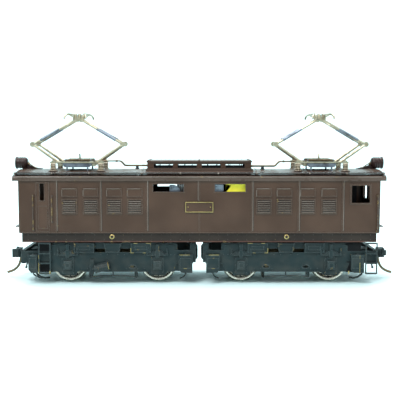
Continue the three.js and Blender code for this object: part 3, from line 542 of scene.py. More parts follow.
def pressed_lips(mesh):
    """The lips of the seams, louvres and blanked windows, near side, in pale paint as a painted highlight."""
    face = -PANEL_Y
    for x in SEAMS:
        box(mesh, x + 0.3, x + 0.56, face - 0.1, face + 0.3, 23.0, 44.2)
    box(mesh, -0.6, -0.34, face - 0.1, face + 0.3, 35.8, 44.2)
    for x in LOUVRES:
        x0, x1 = x - LOUVRE_HALF, x + LOUVRE_HALF
        box(mesh, x0 + 0.2, x1 - 0.9, face - 0.22, face, BLANK_Z[1] - 0.22, BLANK_Z[1] + 0.02)
        box(mesh, x0 - 0.02, x0 + 0.2, face - 0.22, face, BLANK_Z[0] + 0.2, BLANK_Z[1] - 0.6)
        for index in range(SLATS):
            z = LOUVRE_Z[0] + 0.5 + index * SLAT_PITCH
            box(mesh, x0 + 0.7, x1 - 0.7, face - 0.42, face - 0.28, z + 0.06, z + 0.3)


def side_fittings(mesh):
    """Window frames, door edges, hinges and rivets of the near side."""
    face = -WALL_Y
    inner, outer, bottom, top = SIDE_WINDOW
    for x0, x1 in ((inner, outer), (-outer, -inner)):
        frame_ring(mesh, x0 - 0.4, x1 + 0.4, bottom - 0.4, top + 0.4, 0.4, face - 0.2, face + 0.1)
    x0, x1, z0, z1 = DOOR_WINDOW
    frame_ring(mesh, x0 - 0.3, x1 + 0.3, z0 - 0.3, z1 + 0.3, 0.3, face - 0.2, face + 0.1)
    x0, x1, z0, z1 = DOOR
    frame_ring(mesh, x0 + 0.9, x1 - 0.9, z0 + 1.2, 33.5, 0.22, face - 0.14, face + 0.1)
    for z in (25.5, 33.5, 41.0):
        rod(mesh, (x1 - 0.05, face - 0.34, z - 0.6), (x1 - 0.05, face - 0.34, z + 0.6), 0.22, 10)
    x0, x1, z0, z1 = CAB_WINDOW
    frame_ring(mesh, x0 - 0.1, x1 + 0.1, z0 - 0.1, z1 + 0.1, 0.34, face - 0.42, face + 0.3)
    for index in range(SIDE_RIVETS):
        x = -72 + index * 3.0
        ball(mesh, (x, face - 0.3, 22.2), 0.13, 8)


def grab_rails(mesh):
    """Bent wire handrails with their turned feet, near side."""
    y = -WALL_Y - 0.9
    for x, z0, z1 in ((-69.5, 23, 38), (-61.6, 26.5, 38), (74.6, 22.6, 38)):
        bend = 0.45
        points = [(x, -WALL_Y, z0 + 0.3), (x, y + bend, z0 + 0.3)]
        for step in range(1, 5):
            angle = step * pi / 8
            points.append((x, y + bend * (1 - sin(angle)), z0 + 0.3 + bend * (1 - cos(angle))))
        rise = [(px, py, z0 + z1 - pz) for px, py, pz in reversed(points)]
        swept(mesh, points + rise, 0.25, 10)
        for z in (z0 + 0.3, z1 - 0.3):
            rod(mesh, (x, -WALL_Y - 0.28, z), (x, -WALL_Y, z), 0.42, 12, 0.5)


def end_wall(mesh):
    """The +X end: window frames, door edges and hinges, and a stud over each side window."""
    x = WALL_X
    for low, high, z0, z1 in ((6.4, 13.6, 34.5, 42.25), (-13.6, -6.4, 34.5, 42.25), (-2.1, 2.1, 34.5, 42.25)):
        for a, b, c, d in ((low - 0.4, high + 0.4, z0 - 0.4, z0), (low - 0.4, high + 0.4, z1, z1 + 0.4),
                           (low - 0.4, low, z0, z1), (high, high + 0.4, z0, z1)):
            box(mesh, x - 0.1, x + 0.22, a, b, c, d)
    box(mesh, x - 0.05, x + 0.2, -2.5, 2.5, 25.2, 25.4)
    box(mesh, x - 0.05, x + 0.2, -2.5, 2.5, 32.8, 33.0)
    for side in BOTH:
        box(mesh, x - 0.05, x + 0.2, side * 2.5, side * 2.3, 25.2, 33.0)
        rod(mesh, (x - 0.1, side * 10, 43.2), (x + 0.5, side * 10, 43.2), 0.3, 12)
    for z in (26.5, 31.0, 41.0):
        rod(mesh, (x + 0.3, -3.5, z - 0.6), (x + 0.3, -3.5, z + 0.6), 0.22, 10)


def plate_field(mesh):
    """A number plate with a raised border and a blank field with two rivets, near side."""
    frame_ring(mesh, -5.85, 5.85, 30.8, 35.2, 0.32, -WALL_Y - 0.74, -WALL_Y - 0.3)
    for x in (-4.7, 4.7):
        ball(mesh, (x, -WALL_Y - 0.42, 33.0), 0.3, 12)


def plate_back(mesh):
    box(mesh, -5.7, 5.7, -WALL_Y - 0.45, -WALL_Y, 30.95, 35.05)


def cab_shade_lining(mesh):
    """Near-black painted shade inside the +X cab: the inner wall, open at the far door's window, and the
    cab's rear partition.
    """
    low, high = -DOOR_WINDOW[1] - 0.3, -DOOR_WINDOW[0] + 0.3
    for x0, x1 in ((61.6, low), (high, 72.6)):
        box(mesh, x0, x1, 15.3, 15.6, 24.0, 44.0)
    box(mesh, low, high, 15.3, 15.6, 24.0, DOOR_WINDOW[2] - 0.2)
    box(mesh, 61.3, 61.6, -15.4, 15.6, 24.0, 44.0)


BODY_SIDE = (
    ("louvres", louvre_bank, "body", "carbody", "body_paint", 0.0),
    ("shade_strips", shade_strips, "sill", "carbody", "body_paint", 0.0),
    ("gutter", gutter, "lip", "carbody", "body_paint", 0.0),
    ("blank_corners", blank_corners, "body", "carbody", "body_paint", 0.0),
    ("pressed_lips", pressed_lips, "lip", "carbody", "body_paint", 0.05),
    ("side_fittings", side_fittings, "body", "carbody", "body_paint", 0.05),
    ("grab_rails", grab_rails, "rail", "carbody", "brass", 0.0),
    ("plate_border", plate_field, "brass", "carbody", "brass", 0.06, "number_plate"),
    ("plate_back", plate_back, "body", "carbody", "body_paint", 0.05),
)
BODY_END = (
    ("cab_shade_lining", cab_shade_lining, "dark", "carbody", "body_paint", 0.04),
    ("end_fittings", end_wall, "body", "carbody", "body_paint", 0.04),
)


def make_body():
    dress("body_shell", "body", 0.12)
    for rows, pair in ((BODY_SIDE, SIDES), (BODY_END, ENDS)):
        for end, sign in pair:
            make_rows(rows, end, half_turn=sign < 0)


# ---- roof ----

ROOF_CREST = 48.2
EAVE_DROP = 2.4
EAVE_Y = 17.8
CABLE_Y = -3                  # the +X cable and its post


def roof_height(y):
    return ROOF_CREST - EAVE_DROP * (y / EAVE_Y) ** 2


def roof_seams(mesh):
    """Cover strips over the sheet joints, and the rivet lines."""
    for x in (-74, -46, -24.6, 24.6, 46, 74):
        points = [(x, y * 0.5, roof_height(y * 0.5) + 0.03) for y in range(-27, 28, 3)]
        swept(mesh, points, 0.2, 8)
    for x0, x1 in ((-72, -26), (26, 72)):
        for index in range(int((x1 - x0) / 4) + 1):
            for y in (-11.8, 11.8):
                ball(mesh, (x0 + 4 * index, y, roof_height(y) + 0.02), 0.17, 8)


def walk_boards(mesh):
    """The near roof walk: two boards with a gap, on bent straps."""
    for y0, y1 in ((-17.4, -15.65), (-15.45, -13.7)):
        for x0, x1 in ((-77.4, -25.8), (-25.6, 25.6), (25.8, 77.4)):
            box(mesh, x0, x1, y0, y1, 47.02, 47.5)
    for x in STRAPS:
        box(mesh, x - 0.4, x + 0.4, -17.35, -14, 46.75, 47.04)
        box(mesh, x - 0.4, x + 0.4, -14.9, -14.3, roof_height(14.6) - 0.05, 46.9)
        ball(mesh, (x, -16.6, 47.5), 0.16, 8)


LID_RIVETS = 23


def monitor_details(mesh):
    """Rivets along the ventilator's lid and a bead round its foot."""
    for index in range(LID_RIVETS):
        for y in (-7.7, 7.7):
            ball(mesh, (-20.9 + 1.9 * index, y, 52.02), 0.15, 8)
    for y in (-8.1, 8.1):
        box(mesh, -22.5, 22.5, y - 0.12, y + 0.12, 48.5, 48.75)
    for x in (-22.4, 22.4):
        box(mesh, x - 0.12, x + 0.12, -8.1, 8.1, 48.5, 48.75)


def monitor_slot_shade(mesh):
    """Dark strips and stays behind the ventilator's slots, painted shade inside the slots."""
    for side in BOTH:
        box(mesh, -20.8, 20.8, side * 6.5, side * 7.1, 48.7, 49.55)
        box(mesh, -20.8, 20.8, side * 6.5, side * 7.1, 50.5, 51.3)
        for x in (-17.6, -13.4, -6.6, -3.4, 3.4, 7.4, 12.9, 17.8):
            rod(mesh, (x, side * 6.8, 48.7), (x + 0.5, side * 6.8, 51.3), 0.16, 8)
    box(mesh, -20.8, 20.8, -0.4, 0.4, 48.7, 49.3)


def bus_bar(mesh):
    """The +X roof cable: a bent wire from the ventilator over its post to the pantograph."""
    tray = corners("pantograph_base_right")[0][0] + 5.7
    path = ((22.3, 49.6), (25, 49.6), (32.2, 49.6), (33.0, 49.75), (33.8, 50.6), (34.6, 51.4), (35.4, 51.6),
            (tray, 51.6))
    swept(mesh, [(x, CABLE_Y, z) for x, z in path], lambda part: 0.42 if part < 0.8 else 0.3, 14)
    for x, z in ((23.0, 49.6), (36.6, 51.6)):
        rod(mesh, (x - 0.4, CABLE_Y, z), (x + 0.4, CABLE_Y, z), 0.5, 12)


def bus_post(mesh):
    profile = ((0, 0), (0.95, 0), (0.95, 0.25), (0.6, 0.35), (0.75, 0.6), (0.55, 0.8), (0.7, 1.0),
               (0.45, 1.2), (0, 1.25))
    foot = roof_height(3)
    turned(mesh, [(radius, foot + rise) for radius, rise in profile], (27.5, CABLE_Y, 0), "Z", 20)


ROOF_SIDE = (("walk_boards", walk_boards, "walk", "carbody", "black_paint", 0.07, "roof_walk"),)
ROOF_END = (("roof_cable", bus_bar, "bronze", "carbody", "brass", 0.0, "bus_bar"),
            ("cable_post", bus_post, "black", "carbody", "ceramic", 0.0))


def make_roof():
    dress("roof_panel", "roof", 0.35)
    dress("roof_monitor", "body", 0.12)
    make("roof_seams", roof_seams, "roof", "carbody")
    make("monitor_details", monitor_details, "body", "carbody")
    make("monitor_slot_shade", monitor_slot_shade, "dark", "carbody", bevel=0.06)
    for rows, pair in ((ROOF_SIDE, SIDES), (ROOF_END, ENDS)):
        for end, sign in pair:
            make_rows(rows, end, half_turn=sign < 0)


# ---- underframe ----

SILL_BOTTOM = corners("underframe")[0][2]
SILL_Y = 16.4                 # face of the solebars
SCREW_X = 36.7
SILL_RIVETS = 37              # in each row


def sill_edges(mesh):
    """Rolled lower edges of the solebars."""
    low, high = SILL_BOTTOM - 0.02, SILL_BOTTOM + 0.5
    for side in BOTH:
        box(mesh, -74.5, 74.5, side * (SILL_Y - 0.9), side * (SILL_Y + 0.14), low, high)


def sill_rivets(mesh):
    for side in BOTH:
        for index in range(SILL_RIVETS):
            x = -72 + 4 * index
            if abs(abs(x) - SCREW_X) > 2:
                for z in (21.2, 19.2):
                    ball(mesh, (x, side * 16.42, z), 0.17, 8)


def sill_screws(mesh):
    for side in BOTH:
        for x in (-SCREW_X, SCREW_X):
            profile = [(0, 0.0), (1.05, 0.0), (1.05, 0.18), (0.75, 0.42), (0, 0.5)]
            turned(mesh, [(r, side * h) for r, h in profile], (x, side * 16.5, 20.4), "Y", 24)


def make_underframe():
    dress("underframe", "sill", 0.15)
    make("sill_edges", sill_edges, "rust", "carbody", bevel=0.1)
    make("sill_rivets", sill_rivets, "sill", "carbody")
    make("sill_screws", sill_screws, "brass", "carbody")


# ---- headlights ----

LAMP_BACK = 75.3
LAMP_FRONT = 80.4
LAMP_Z = 50.85
LAMP_R = 2.45
LAMP_RIBS = 3


def from_front(*profile):
    """A lamp profile whose second numbers are depths behind the front rim."""
    return [(radius, LAMP_FRONT - depth) for radius, depth in profile]


def headlight_case(mesh):
    """The +X lamp: a ribbed drum with a flared rim, a rear cap and a folded stay."""
    r = LAMP_R
    outer = [(0, LAMP_BACK - 0.35), (0.5, LAMP_BACK - 0.35), (0.7, LAMP_BACK - 0.1), (r - 0.9, LAMP_BACK),
             (r - 0.35, LAMP_BACK + 0.35), (r - 0.05, LAMP_BACK + 0.9)]
    for index in range(LAMP_RIBS):
        x = LAMP_BACK + 1.2 + index * 0.9
        outer += [(r - 0.05, x), (r + 0.1, x + 0.12), (r + 0.1, x + 0.28), (r - 0.05, x + 0.4)]
    outer += from_front((r - 0.05, 0.9), (r + 0.18, 0.7), (r + 0.2, 0.1), (r + 0.05, 0), (r - 0.3, 0),
                        (r - 0.42, 0.25), (r - 0.5, 1.2), (0, 1.9))
    turned(mesh, outer, (0, 0, LAMP_Z), "X", 48)
    stay = [(71.4, 48.5), (77.0, 48.5), (77.0, 49.5), (75.9, 50.2), (75.2, 50.2), (73.4, 49.5), (72.0, 49.0)]
    prism(mesh, stay, -0.5, 0.5)
    box(mesh, 69, 77.4, -1.4, 1.4, 48.2, 48.5)
    for x in (70.2, 76.4):
        for y in BOTH:
            ball(mesh, (x, y * 0.95, 48.5), 0.22, 10)


def headlight_reflector(mesh):
    profile = from_front((0, 1.85), (0.7, 1.78), (1.4, 1.45), (1.85, 0.95), (1.95, 0.5),
                         (1.88, 0.5), (1.75, 0.9), (1.3, 1.35), (0.6, 1.65), (0, 1.7))
    turned(mesh, profile, (0, 0, LAMP_Z), "X", 36)
    ball(mesh, (LAMP_FRONT - 1.3, 0, LAMP_Z), 0.42, 14)


def headlight_lens(mesh):
    profile = [(0, LAMP_FRONT - 0.55), (1.9, LAMP_FRONT - 0.55), (1.9, LAMP_FRONT - 0.4)]
    for angle in angles(5, first=1):
        profile.append((1.9 * cos(angle), LAMP_FRONT - 0.4 + 0.45 * sin(angle)))
    turned(mesh, profile, (0, 0, LAMP_Z), "X", 36)


def lamp_wire(mesh):
    """The lamp's lead, soldered along the stay, with its copper terminal."""
    points = [(75.0, 0.6, 50.5), (74.0, 0.7, 50.2), (73.0, 0.75, 49.5), (71.8, 0.75, 48.8), (70.6, 0.8, 48.6)]
    swept(mesh, points, 0.22, 10)
    rod(mesh, (74.4, 0, 50.4), (75.4, 0, 50.6), 0.55, 14, 0.7)


HEADLIGHT = (
    ("headlight_case", headlight_case, "lamp", "carbody", "body_paint", 0.04, "headlight"),
    ("headlight_reflector", headlight_reflector, "nickel", "carbody", "nickel", 0.0),
    ("headlight_glass", headlight_lens, "glass", "carbody", "lens_glass", 0.0, "headlight_lens"),
    ("headlight_lead", lamp_wire, "bronze", "carbody", "brass", 0.0),
)


def make_headlights():
    for end, sign in ENDS:
        make_rows(HEADLIGHT, end, half_turn=sign < 0)


# ---- motor and drive ----

SHAFT_Z = pivot("drive_shaft_spin").z
BRACKET_Y = -14.6             # outer face of the near brackets
BRUSH_X = 8.4


LAMINATIONS = 22
LAMINATION_PITCH = 0.82


def motor_frame(mesh):
    """Laminated field frame between two end plates, cut away over the armature."""
    for index in range(LAMINATIONS):
        x = -9.6 + index * LAMINATION_PITCH
        box(mesh, x, x + 0.7, -8.9, 8.9, 36.8, 41.9)
        box(mesh, x, x + 0.7, -8.9, 8.9, 22.1, 24.4)
        for side in BOTH:
            box(mesh, x, x + 0.7, side * 7.3, side * 8.9, 24.4, 36.8)
    for x0, x1 in ((-12.7, -11.6), (9.6, 11.0)):
        for y0, y1, z0, z1 in ((-8.6, 8.6, 22.1, 23.4), (-5.2, -2.0, 23.4, 35.5), (2.0, 5.2, 23.4, 35.5),
                               (-8.6, 8.6, 32.4, 37.6)):
            box(mesh, x0, x1, y0, y1, z0, z1)
        bearing = [(1.6, x0 - 0.1), (3.1, x0 - 0.1), (3.4, x0 + 0.2), (3.4, x1 + 0.1), (1.6, x1 + 0.1)]
        turned(mesh, bearing + [bearing[0]], (0, 0, SHAFT_Z), "X", 36)
    for y in (-6.6, 6.6):
        rod(mesh, (-12.2, y, 35.6), (10.6, y, 35.6), 0.6, 14)
        rod(mesh, (-12.6, y, 35.6), (-11.4, y, 35.6), 1.1, 6)


BUNDLES = 5                   # of enamelled wire round the armature
WIRES = 6                     # in each bundle


def motor_coils(mesh):
    """Armature windings, drawn in at both ends of the core."""
    for bundle in range(BUNDLES):
        turn = tau * bundle / BUNDLES
        for layer in range(WIRES):
            off_middle = layer - (WIRES - 1) / 2
            angle = turn + off_middle * 0.13
            radius = 5.0 + 0.28 * (2.5 - abs(off_middle))
            y, z = radius * cos(angle), SHAFT_Z + radius * sin(angle)
            drawn = (y * 0.8, SHAFT_Z + (z - SHAFT_Z) * 0.8)
            swept(mesh, [(-8.6, *drawn), (-7.8, y, z), (7.6, y, z), (8.4, *drawn)], 0.32, 8)


def motor_core(mesh):
    profile = [(1.6, -8.2), (4.6, -8.2), (4.6, 8.0), (1.6, 8.0), (1.6, -8.2)]
    turned(mesh, profile, (0, 0, SHAFT_Z), "X", 40)


def insulating_channel(mesh):
    """Creased insulating paper folded over the flywheel."""
    outline = [(11.3, 32), (11.8, 32), (11.8, 41.7), (18.8, 41.7), (19.1, 41.5), (19.2, 37.2), (19.6, 37.0),
               (19.65, 41.6), (19.3, 42.2), (11.6, 42.3), (11.3, 42.1)]
    prism(mesh, outline, -7.4, 7.4)
    flap = [(10.8, 42.5), (19.4, 42.5), (19.5, 37.4), (16.0, 37.2), (10.6, 37.6), (11.7, 39.6), (13.3, 41.9)]
    for side in BOTH:
        box(mesh, 12.4, 19.3, side * 7.2, side * 14.9, 42.35, 42.55)
        prism(mesh, flap, side * 15.1, side * 14.85)


def motor_brackets(mesh):
    """Bright pressed brackets beside the motor, one rounded and one square, near side."""
    rounded = [(-12.6, 37.4), (-12.6, 42.2)]
    for angle in angles(6):
        rounded.append((-11.2 + 3.4 * sin(angle), 39.0 + 3.2 * cos(angle)))
    rounded.append((-7.8, 37.4))
    prism(mesh, rounded, BRACKET_Y, BRACKET_Y + 0.3)
    box(mesh, 6.0, 10.2, BRACKET_Y, BRACKET_Y + 0.3, 37.2, 42.3)
    box(mesh, 6.0, 10.2, BRACKET_Y - 0.3, BRACKET_Y + 0.2, 37.2, 37.6)
    for x, z in ((-11.4, 40.8), (-9.2, 39.3), (7.2, 41.2), (9.2, 38.6)):
        rod(mesh, (x, BRACKET_Y - 0.3, z), (x, BRACKET_Y + 0.2, z), 0.42, 8)
    for x in (-10.2, 8.1):
        rod(mesh, (x, BRACKET_Y + 0.2, 37.9), (x, -6.0, 37.9), 0.5, 12)


def brush_holders(mesh):
    for side in BOTH:
        rod(mesh, (BRUSH_X, side * 5.6, SHAFT_Z), (BRUSH_X, side * 8.8, SHAFT_Z), 1.2, 18, 1.1)
        rod(mesh, (BRUSH_X, side * 8.7, SHAFT_Z), (BRUSH_X, side * 9.0, SHAFT_Z), 0.8, 6)


def drive_shaft(mesh):
    """Shaft, flywheel and the two coupling cups, turned from one bar."""
    cup = [(0, 22.9), (2.4, 22.9), (2.4, 28.2), (2.75, 28.2), (3.0, 27.9), (3.0, 24.2), (2.7, 23.6),
           (1.6, 22.3), (1.0, 22.1)]
    profile = [(r, -x) for r, x in cup] + [(1.0, 12.6), (3.9, 12.6), (4.4, 13.0)]
    for groove in range(5):
        x = 13.6 + groove
        profile += [(4.4, x), (4.22, x + 0.12), (4.22, x + 0.3), (4.4, x + 0.42)]
    profile += [(4.4, 18.6), (3.9, 19.0), (1.0, 19.0)] + cup[::-1]
    turned(mesh, profile, (0, 0, SHAFT_Z), "X", 48)


def worm(mesh, x, sign):
    """A worm with a true helical thread, its shaft and the ball of its joint; sign is the inner end's way."""
    body = [(0, -8.6), (1.0, -8.6), (1.0, -5.8), (1.6, -5.6), (1.6, 5.6), (1.0, 5.8), (1.0, 7.6),
            (0.75, 8.1), (1.0, 8.5), (1.1, 9.0), (1.1, 9.4), (0.8, 9.9), (0, 10.1)]
    profile = [(r, h * sign) for r, h in body]
    turned(mesh, profile, (x, 0, SHAFT_Z), "X", 32)
    turns = 7
    steps = turns * 18
    points = []
    for step in range(steps + 1):
        angle = tau * turns * step / steps
        along = -5.2 + 10.4 * step / steps
        points.append((x + along, 1.72 * cos(angle), SHAFT_Z + 1.72 * sin(angle)))
    swept(mesh, points, 0.42, 8)


def toothed(mesh, centre, radius, teeth, half, bore, depth=0.55):
    """A spur gear about Y with involute-like flanks and a webbed hub."""
    root = radius - depth
    flank = [(root, 0.02), (root + depth * 0.5, 0.16), (radius - 0.06, 0.27), (radius, 0.33),
             (radius, 0.47), (radius - 0.06, 0.53), (root + depth * 0.5, 0.64), (root, 0.78)]
    outline = []
    for tooth in range(teeth):
        for r, phase in flank:
            angle = tau * (tooth + phase) / teeth
            outline.append((centre[0] + r * cos(angle), centre[2] + r * sin(angle)))
    prism(mesh, outline, centre[1] - half, centre[1] + half)
    for side in BOTH:
        ring = [(bore, side * half), (root - 0.9, side * half), (root - 1.1, side * (half + 0.12)),
                (bore + 0.9, side * (half + 0.12)), (bore, side * (half + 0.35))]
        turned(mesh, ring + [ring[0]], centre, "Y", 32)


def gear_box(mesh, x):
    """Screw heads on the gear housing's two plates."""
    for side in BOTH:
        y = side * 3.4
        for px, pz in ((-23.2, 10.9), (-23.2, 5.3), (-12.5, 5.0), (12.5, 5.0), (23.2, 5.3), (23.2, 10.9),
                       (-6.6, 23.4), (6.6, 23.4), (-6.6, 29.4), (6.6, 29.4)):
            rod(mesh, (x + px, y - side * 0.1, pz), (x + px, y + side * 0.35, pz), 0.7, 16, 0.55)


GEARS = {"idler_gear": (5.3, 22, 0.8), "worm_wheel": (7.1, 29, 0.8)}


def make_drive():
    make("motor_frame", motor_frame, "steel", "carbody", ["motor_case"], 0.06)
    make("motor_coils", motor_coils, "copper", "carbody")
    make("motor_core", motor_core, "fibre", "carbody")
    for side, sign in SIDES:
        rows = [("motor_brackets", motor_brackets, "gunmetal", "carbody", "steel", 0.08)]
        make_rows(rows, side, half_turn=sign < 0)
    make("brush_holders", brush_holders, "brass", "carbody")
    make("insulating_channel", insulating_channel, "paper", "carbody", ["motor_insulation"],
         0.05)
    make("motor_shaft", drive_shaft, "steel", "drive_shaft", ["drive_shaft"])
    for end, sign in ENDS:
        x = pivot(f"bogie_yaw_{end}").x
        make(f"worm_{end}", lambda mesh: worm(mesh, x, -sign), "brass", f"worm_shaft_{end}",
             [f"worm_shaft_{end}"])
        dress(f"gear_housing_{end}", "bronze", 0.12)
        make(f"gear_housing_screws_{end}", lambda mesh: gear_box(mesh, x), "steel", f"bogie_{end}")
        for place in PLACES:
            make_gear(f"idler_gear_{place}_{end}", "idler_gear")
        make_gear(f"worm_wheel_{end}", "worm_wheel")


def make_gear(body, kind):
    radius, teeth, axle = GEARS[kind]
    centre = pivot(f"{body}_spin")

    def build(mesh):
        toothed(mesh, centre, radius, teeth, 1.4, axle)
        pin(mesh, centre, 3.2, axle, 24)
    make(f"{body}_teeth", build, "gear", body, [body])


# ---- wheels ----

def wheel_profile(side):
    """Tyre, flange, web, hub and axle end of one wheel, as (radius, y)."""
    profile = [(1.3, 7.2), (2.6, 7.2), (2.8, 7.5), (5.6, 7.75), (6.2, 7.25), (7.8, 7.2), (8.12, 7.35),
               (8.2, 7.6), (8.1, 7.85), (7.78, 8.0), (7.62, 8.2), (7.6, 8.6), (7.5, 10.0), (7.36, 10.2),
               (6.5, 10.2), (6.3, 10.05), (6.2, 9.3), (5.9, 9.15), (3.0, 9.3), (2.8, 9.7), (1.7, 9.8),
               (1.3, 9.8)]
    return [(r, side * y) for r, y in profile]


def wheel_rim(mesh, centre):
    for side in BOTH:
        profile = wheel_profile(side)
        turned(mesh, profile + [profile[0]], centre, "Y", 96)


def wheel_axle(mesh, centre):
    end = [(1.3, 12.4), (0.7, 12.6), (0.55, 13.7), (0, 13.8)]
    turned(mesh, [(r, -y) for r, y in reversed(end)] + end, centre, "Y", 32)
    toothed(mesh, centre, 4.55, 19, 1.4, 1.3, 0.5)


SPOKES = 12


def spokes(mesh, centre):
    """Raised spokes on the wheel's outer face."""
    for side in BOTH:
        for index in range(SPOKES):
            angle = tau * index / SPOKES
            inner = (centre.x + 2.6 * cos(angle), side * 9.32, centre.z + 2.6 * sin(angle))
            outer = (centre.x + 6.1 * cos(angle), side * 9.28, centre.z + 6.1 * sin(angle))
            rod(mesh, inner, outer, 0.42, 8, 0.3)


def make_wheels():
    for end, _ in ENDS:
        for place in PLACES:
            body = f"wheelset_{place}_{end}"
            centre = pivot(f"{body}_spin")
            make(f"{body}_tyres", lambda mesh: wheel_rim(mesh, centre), "wheel", body, [body])
            make(f"{body}_axle", lambda mesh: wheel_axle(mesh, centre), "steel", body)
            make(f"{body}_spokes", lambda mesh: spokes(mesh, centre), "black", body)


# ---- bogies: shapes written for the left bogie about x = 0, -X outward, near side ----

FACE_Y = -15.0                # outer face of the near side frame
AXLE_X = 19.0
AXLE_Z = pivot("wheelset_outer_left_spin").z


LEAVES = 5                    # in each spring


def leaf_springs(mesh):
    """Stacked leaves with shackles over each axle box."""
    for x in (-AXLE_X, AXLE_X):
        for leaf in range(LEAVES):
            half = 4.2 - 0.62 * leaf
            z = 12.15 + 0.42 * leaf
            curve = [(x + half * step / 6, z + 0.5 * (step / 6) ** 2) for step in range(-6, 7)]
            outline = [(px, pz - 0.17) for px, pz in curve] + [(px, pz + 0.17) for px, pz in reversed(curve)]
            prism(mesh, outline, FACE_Y - 1.0, FACE_Y + 0.05)
        box(mesh, x - 0.75, x + 0.75, FACE_Y - 1.15, FACE_Y, 11.6, 14.5)
        for side in BOTH:
            shackle = x + side * 4.1
            rod(mesh, (shackle, FACE_Y - 1.1, 12.7), (shackle, FACE_Y, 12.7), 0.42, 12)
            box(mesh, shackle - 0.3, shackle + 0.3, FACE_Y - 0.8, FACE_Y, 12.7, 15.2)


LID_STEPS = ((1.75, 1.28, -1.9, 1.9), (1.3, 1.5, -1.4, 1.4), (0.9, 1.62, -0.9, 0.8))


def axle_boxes(mesh):
    """Journal covers stepped out by half width, depth, low and high, with a hinge and studs."""
    for x in (-AXLE_X, AXLE_X):
        for width, depth, low, high in LID_STEPS:
            box(mesh, x - width, x + width, FACE_Y - depth, FACE_Y - 0.4, AXLE_Z + low, AXLE_Z + high)
        y, z = FACE_Y - 1.35, AXLE_Z + 1.55
        rod(mesh, (x - 1.3, y, z), (x + 1.3, y, z), 0.22, 10)
        for dx in (-2.25, 2.25):
            for z in (5.1, 8.2, 10.8):
                ball(mesh, (x + dx, FACE_Y - 0.5, z), 0.26, 10)


def box_rings(mesh):
    """Raised rims round the equaliser boxes and the centre plate."""
    for x in (-12, 12):
        frame_ring(mesh, x - 4.25, x + 4.25, 13.4, 17.6, 0.5, FACE_Y - 0.95, FACE_Y - 0.4)
        frame_ring(mesh, x - 2.6, x + 2.6, 14.6, 16.4, 0.24, FACE_Y - 0.68, FACE_Y - 0.4)
        for dx in (-3.3, 3.3):
            ball(mesh, (x + dx, FACE_Y - 0.5, 15.5), 0.22, 10)
    outline = [(-3.7, 17.5), (-2.85, 13.5), (2.85, 13.5), (3.7, 17.5)]
    inner = [(-3.1, 17.0), (-2.45, 14.0), (2.45, 14.0), (3.1, 17.0)]
    count = len(outline)
    for step in range(count):
        a, b = outline[step], outline[(step + 1) % count]
        c, d = inner[(step + 1) % count], inner[step]
        prism(mesh, [a, b, c, d], FACE_Y - 0.7, FACE_Y - 0.25)


def frame_bolts(mesh):
    """Bolt heads, edge strips and oval beads along the frame."""
    for x in (-35.8, -34, -29.2, -24.6, -13.6, -5, -2.2, 2.2, 5, 13.6, 24.6, 26.4):
        ball(mesh, (x, FACE_Y, 12.6), 0.3, 10)
    for x in (-13.4, -10.6, -5.8, 5.8, 10.6, 13.4):
        ball(mesh, (x, FACE_Y, 6.6), 0.26, 10)
    for x0, x1, z in ((-14.6, 14.6, 5.2), (-36.8, -27.4, 9.0), (27.4, 33.6, 8.8)):
        box(mesh, x0, x1, FACE_Y - 0.3, FACE_Y + 0.05, z, z + 0.4)
    for x in (-8.4, 8.4):
        points = [(x + 1.55 * cos(a * pi / 12), FACE_Y - 0.02, 7.4 + 0.85 * sin(a * pi / 12))
                  for a in range(25)]
        swept(mesh, points, 0.16, 8)


def brake_gear(mesh):
    """Hangers, curved shoes against the treads, and the pull rods between them."""
    for x in (-9.6, 9.6):
        way = 1 if x > 0 else -1
        rod(mesh, (x, -9.2, 13.8), (x - 0.35 * way, -9.2, 7.0), 0.35, 10)
        shoe = []
        centre = way * AXLE_X
        for radius, steps in ((8.35, range(0, 7)), (9.3, range(6, -1, -1))):
            for step in steps:
                angle = radians(-24 + 8 * step)
                shoe.append((centre - way * radius * cos(angle), AXLE_Z + radius * sin(angle)))
        prism(mesh, shoe, -10.1, -7.6)
        box(mesh, x - 0.5, x + 0.5, -14.8, -9.2, 2.7, 3.3)
        box(mesh, x - 0.35, x + 0.35, -14.8, -14.2, 3.0, 6.4)
    pull = [(x, -14.5, z) for x, z in ((-9.6, 3.0), (-5, 3.3), (0, 3.5), (5, 3.3), (9.6, 3.0))]
    swept(mesh, pull, 0.3, 10)
    rod(mesh, (0, -14.5, 3.5), (0, -14.5, 6.6), 0.28, 10)


def cylinder_near(mesh):
    """The brake cylinder with its ribbed cap, piston rod and lever."""
    y = FACE_Y - 0.9
    slope = Vector((5.4, 0, 1.3)).normalized()
    start = Vector((-7.4, y, 6.6))
    for low, high, radius in ((0.0, 5.4, 1.72), (0.0, 0.45, 1.95), (1.5, 1.75, 1.85), (3.2, 3.45, 1.85),
                              (5.3, 5.95, 2.1), (-1.05, 0.2, 0.8), (-1.9, -1.0, 0.45), (5.9, 6.4, 1.1)):
        rod(mesh, start + slope * low, start + slope * high, radius, 32)
    for step in range(6):
        angle = tau * step / 6
        up = Vector((-slope.z, 0, slope.x))
        side = Vector((0, 1, 0))
        place = start + slope * 5.9 + up * (1.6 * cos(angle)) + side * (1.6 * sin(angle))
        if place.y > FACE_Y - 2.3:
            rod(mesh, place, place + slope * 0.3, 0.25, 6)
    swept(mesh, [(-9.1, y, 10.3), (-8.8, y, 8.4), (-8.7, y, 6.3), (-9.2, y, 4.6)], 0.42, 10)
    rod(mesh, (-9.0, y - 0.35, 8.5), (-9.0, y + 0.6, 8.5), 0.6, 14)


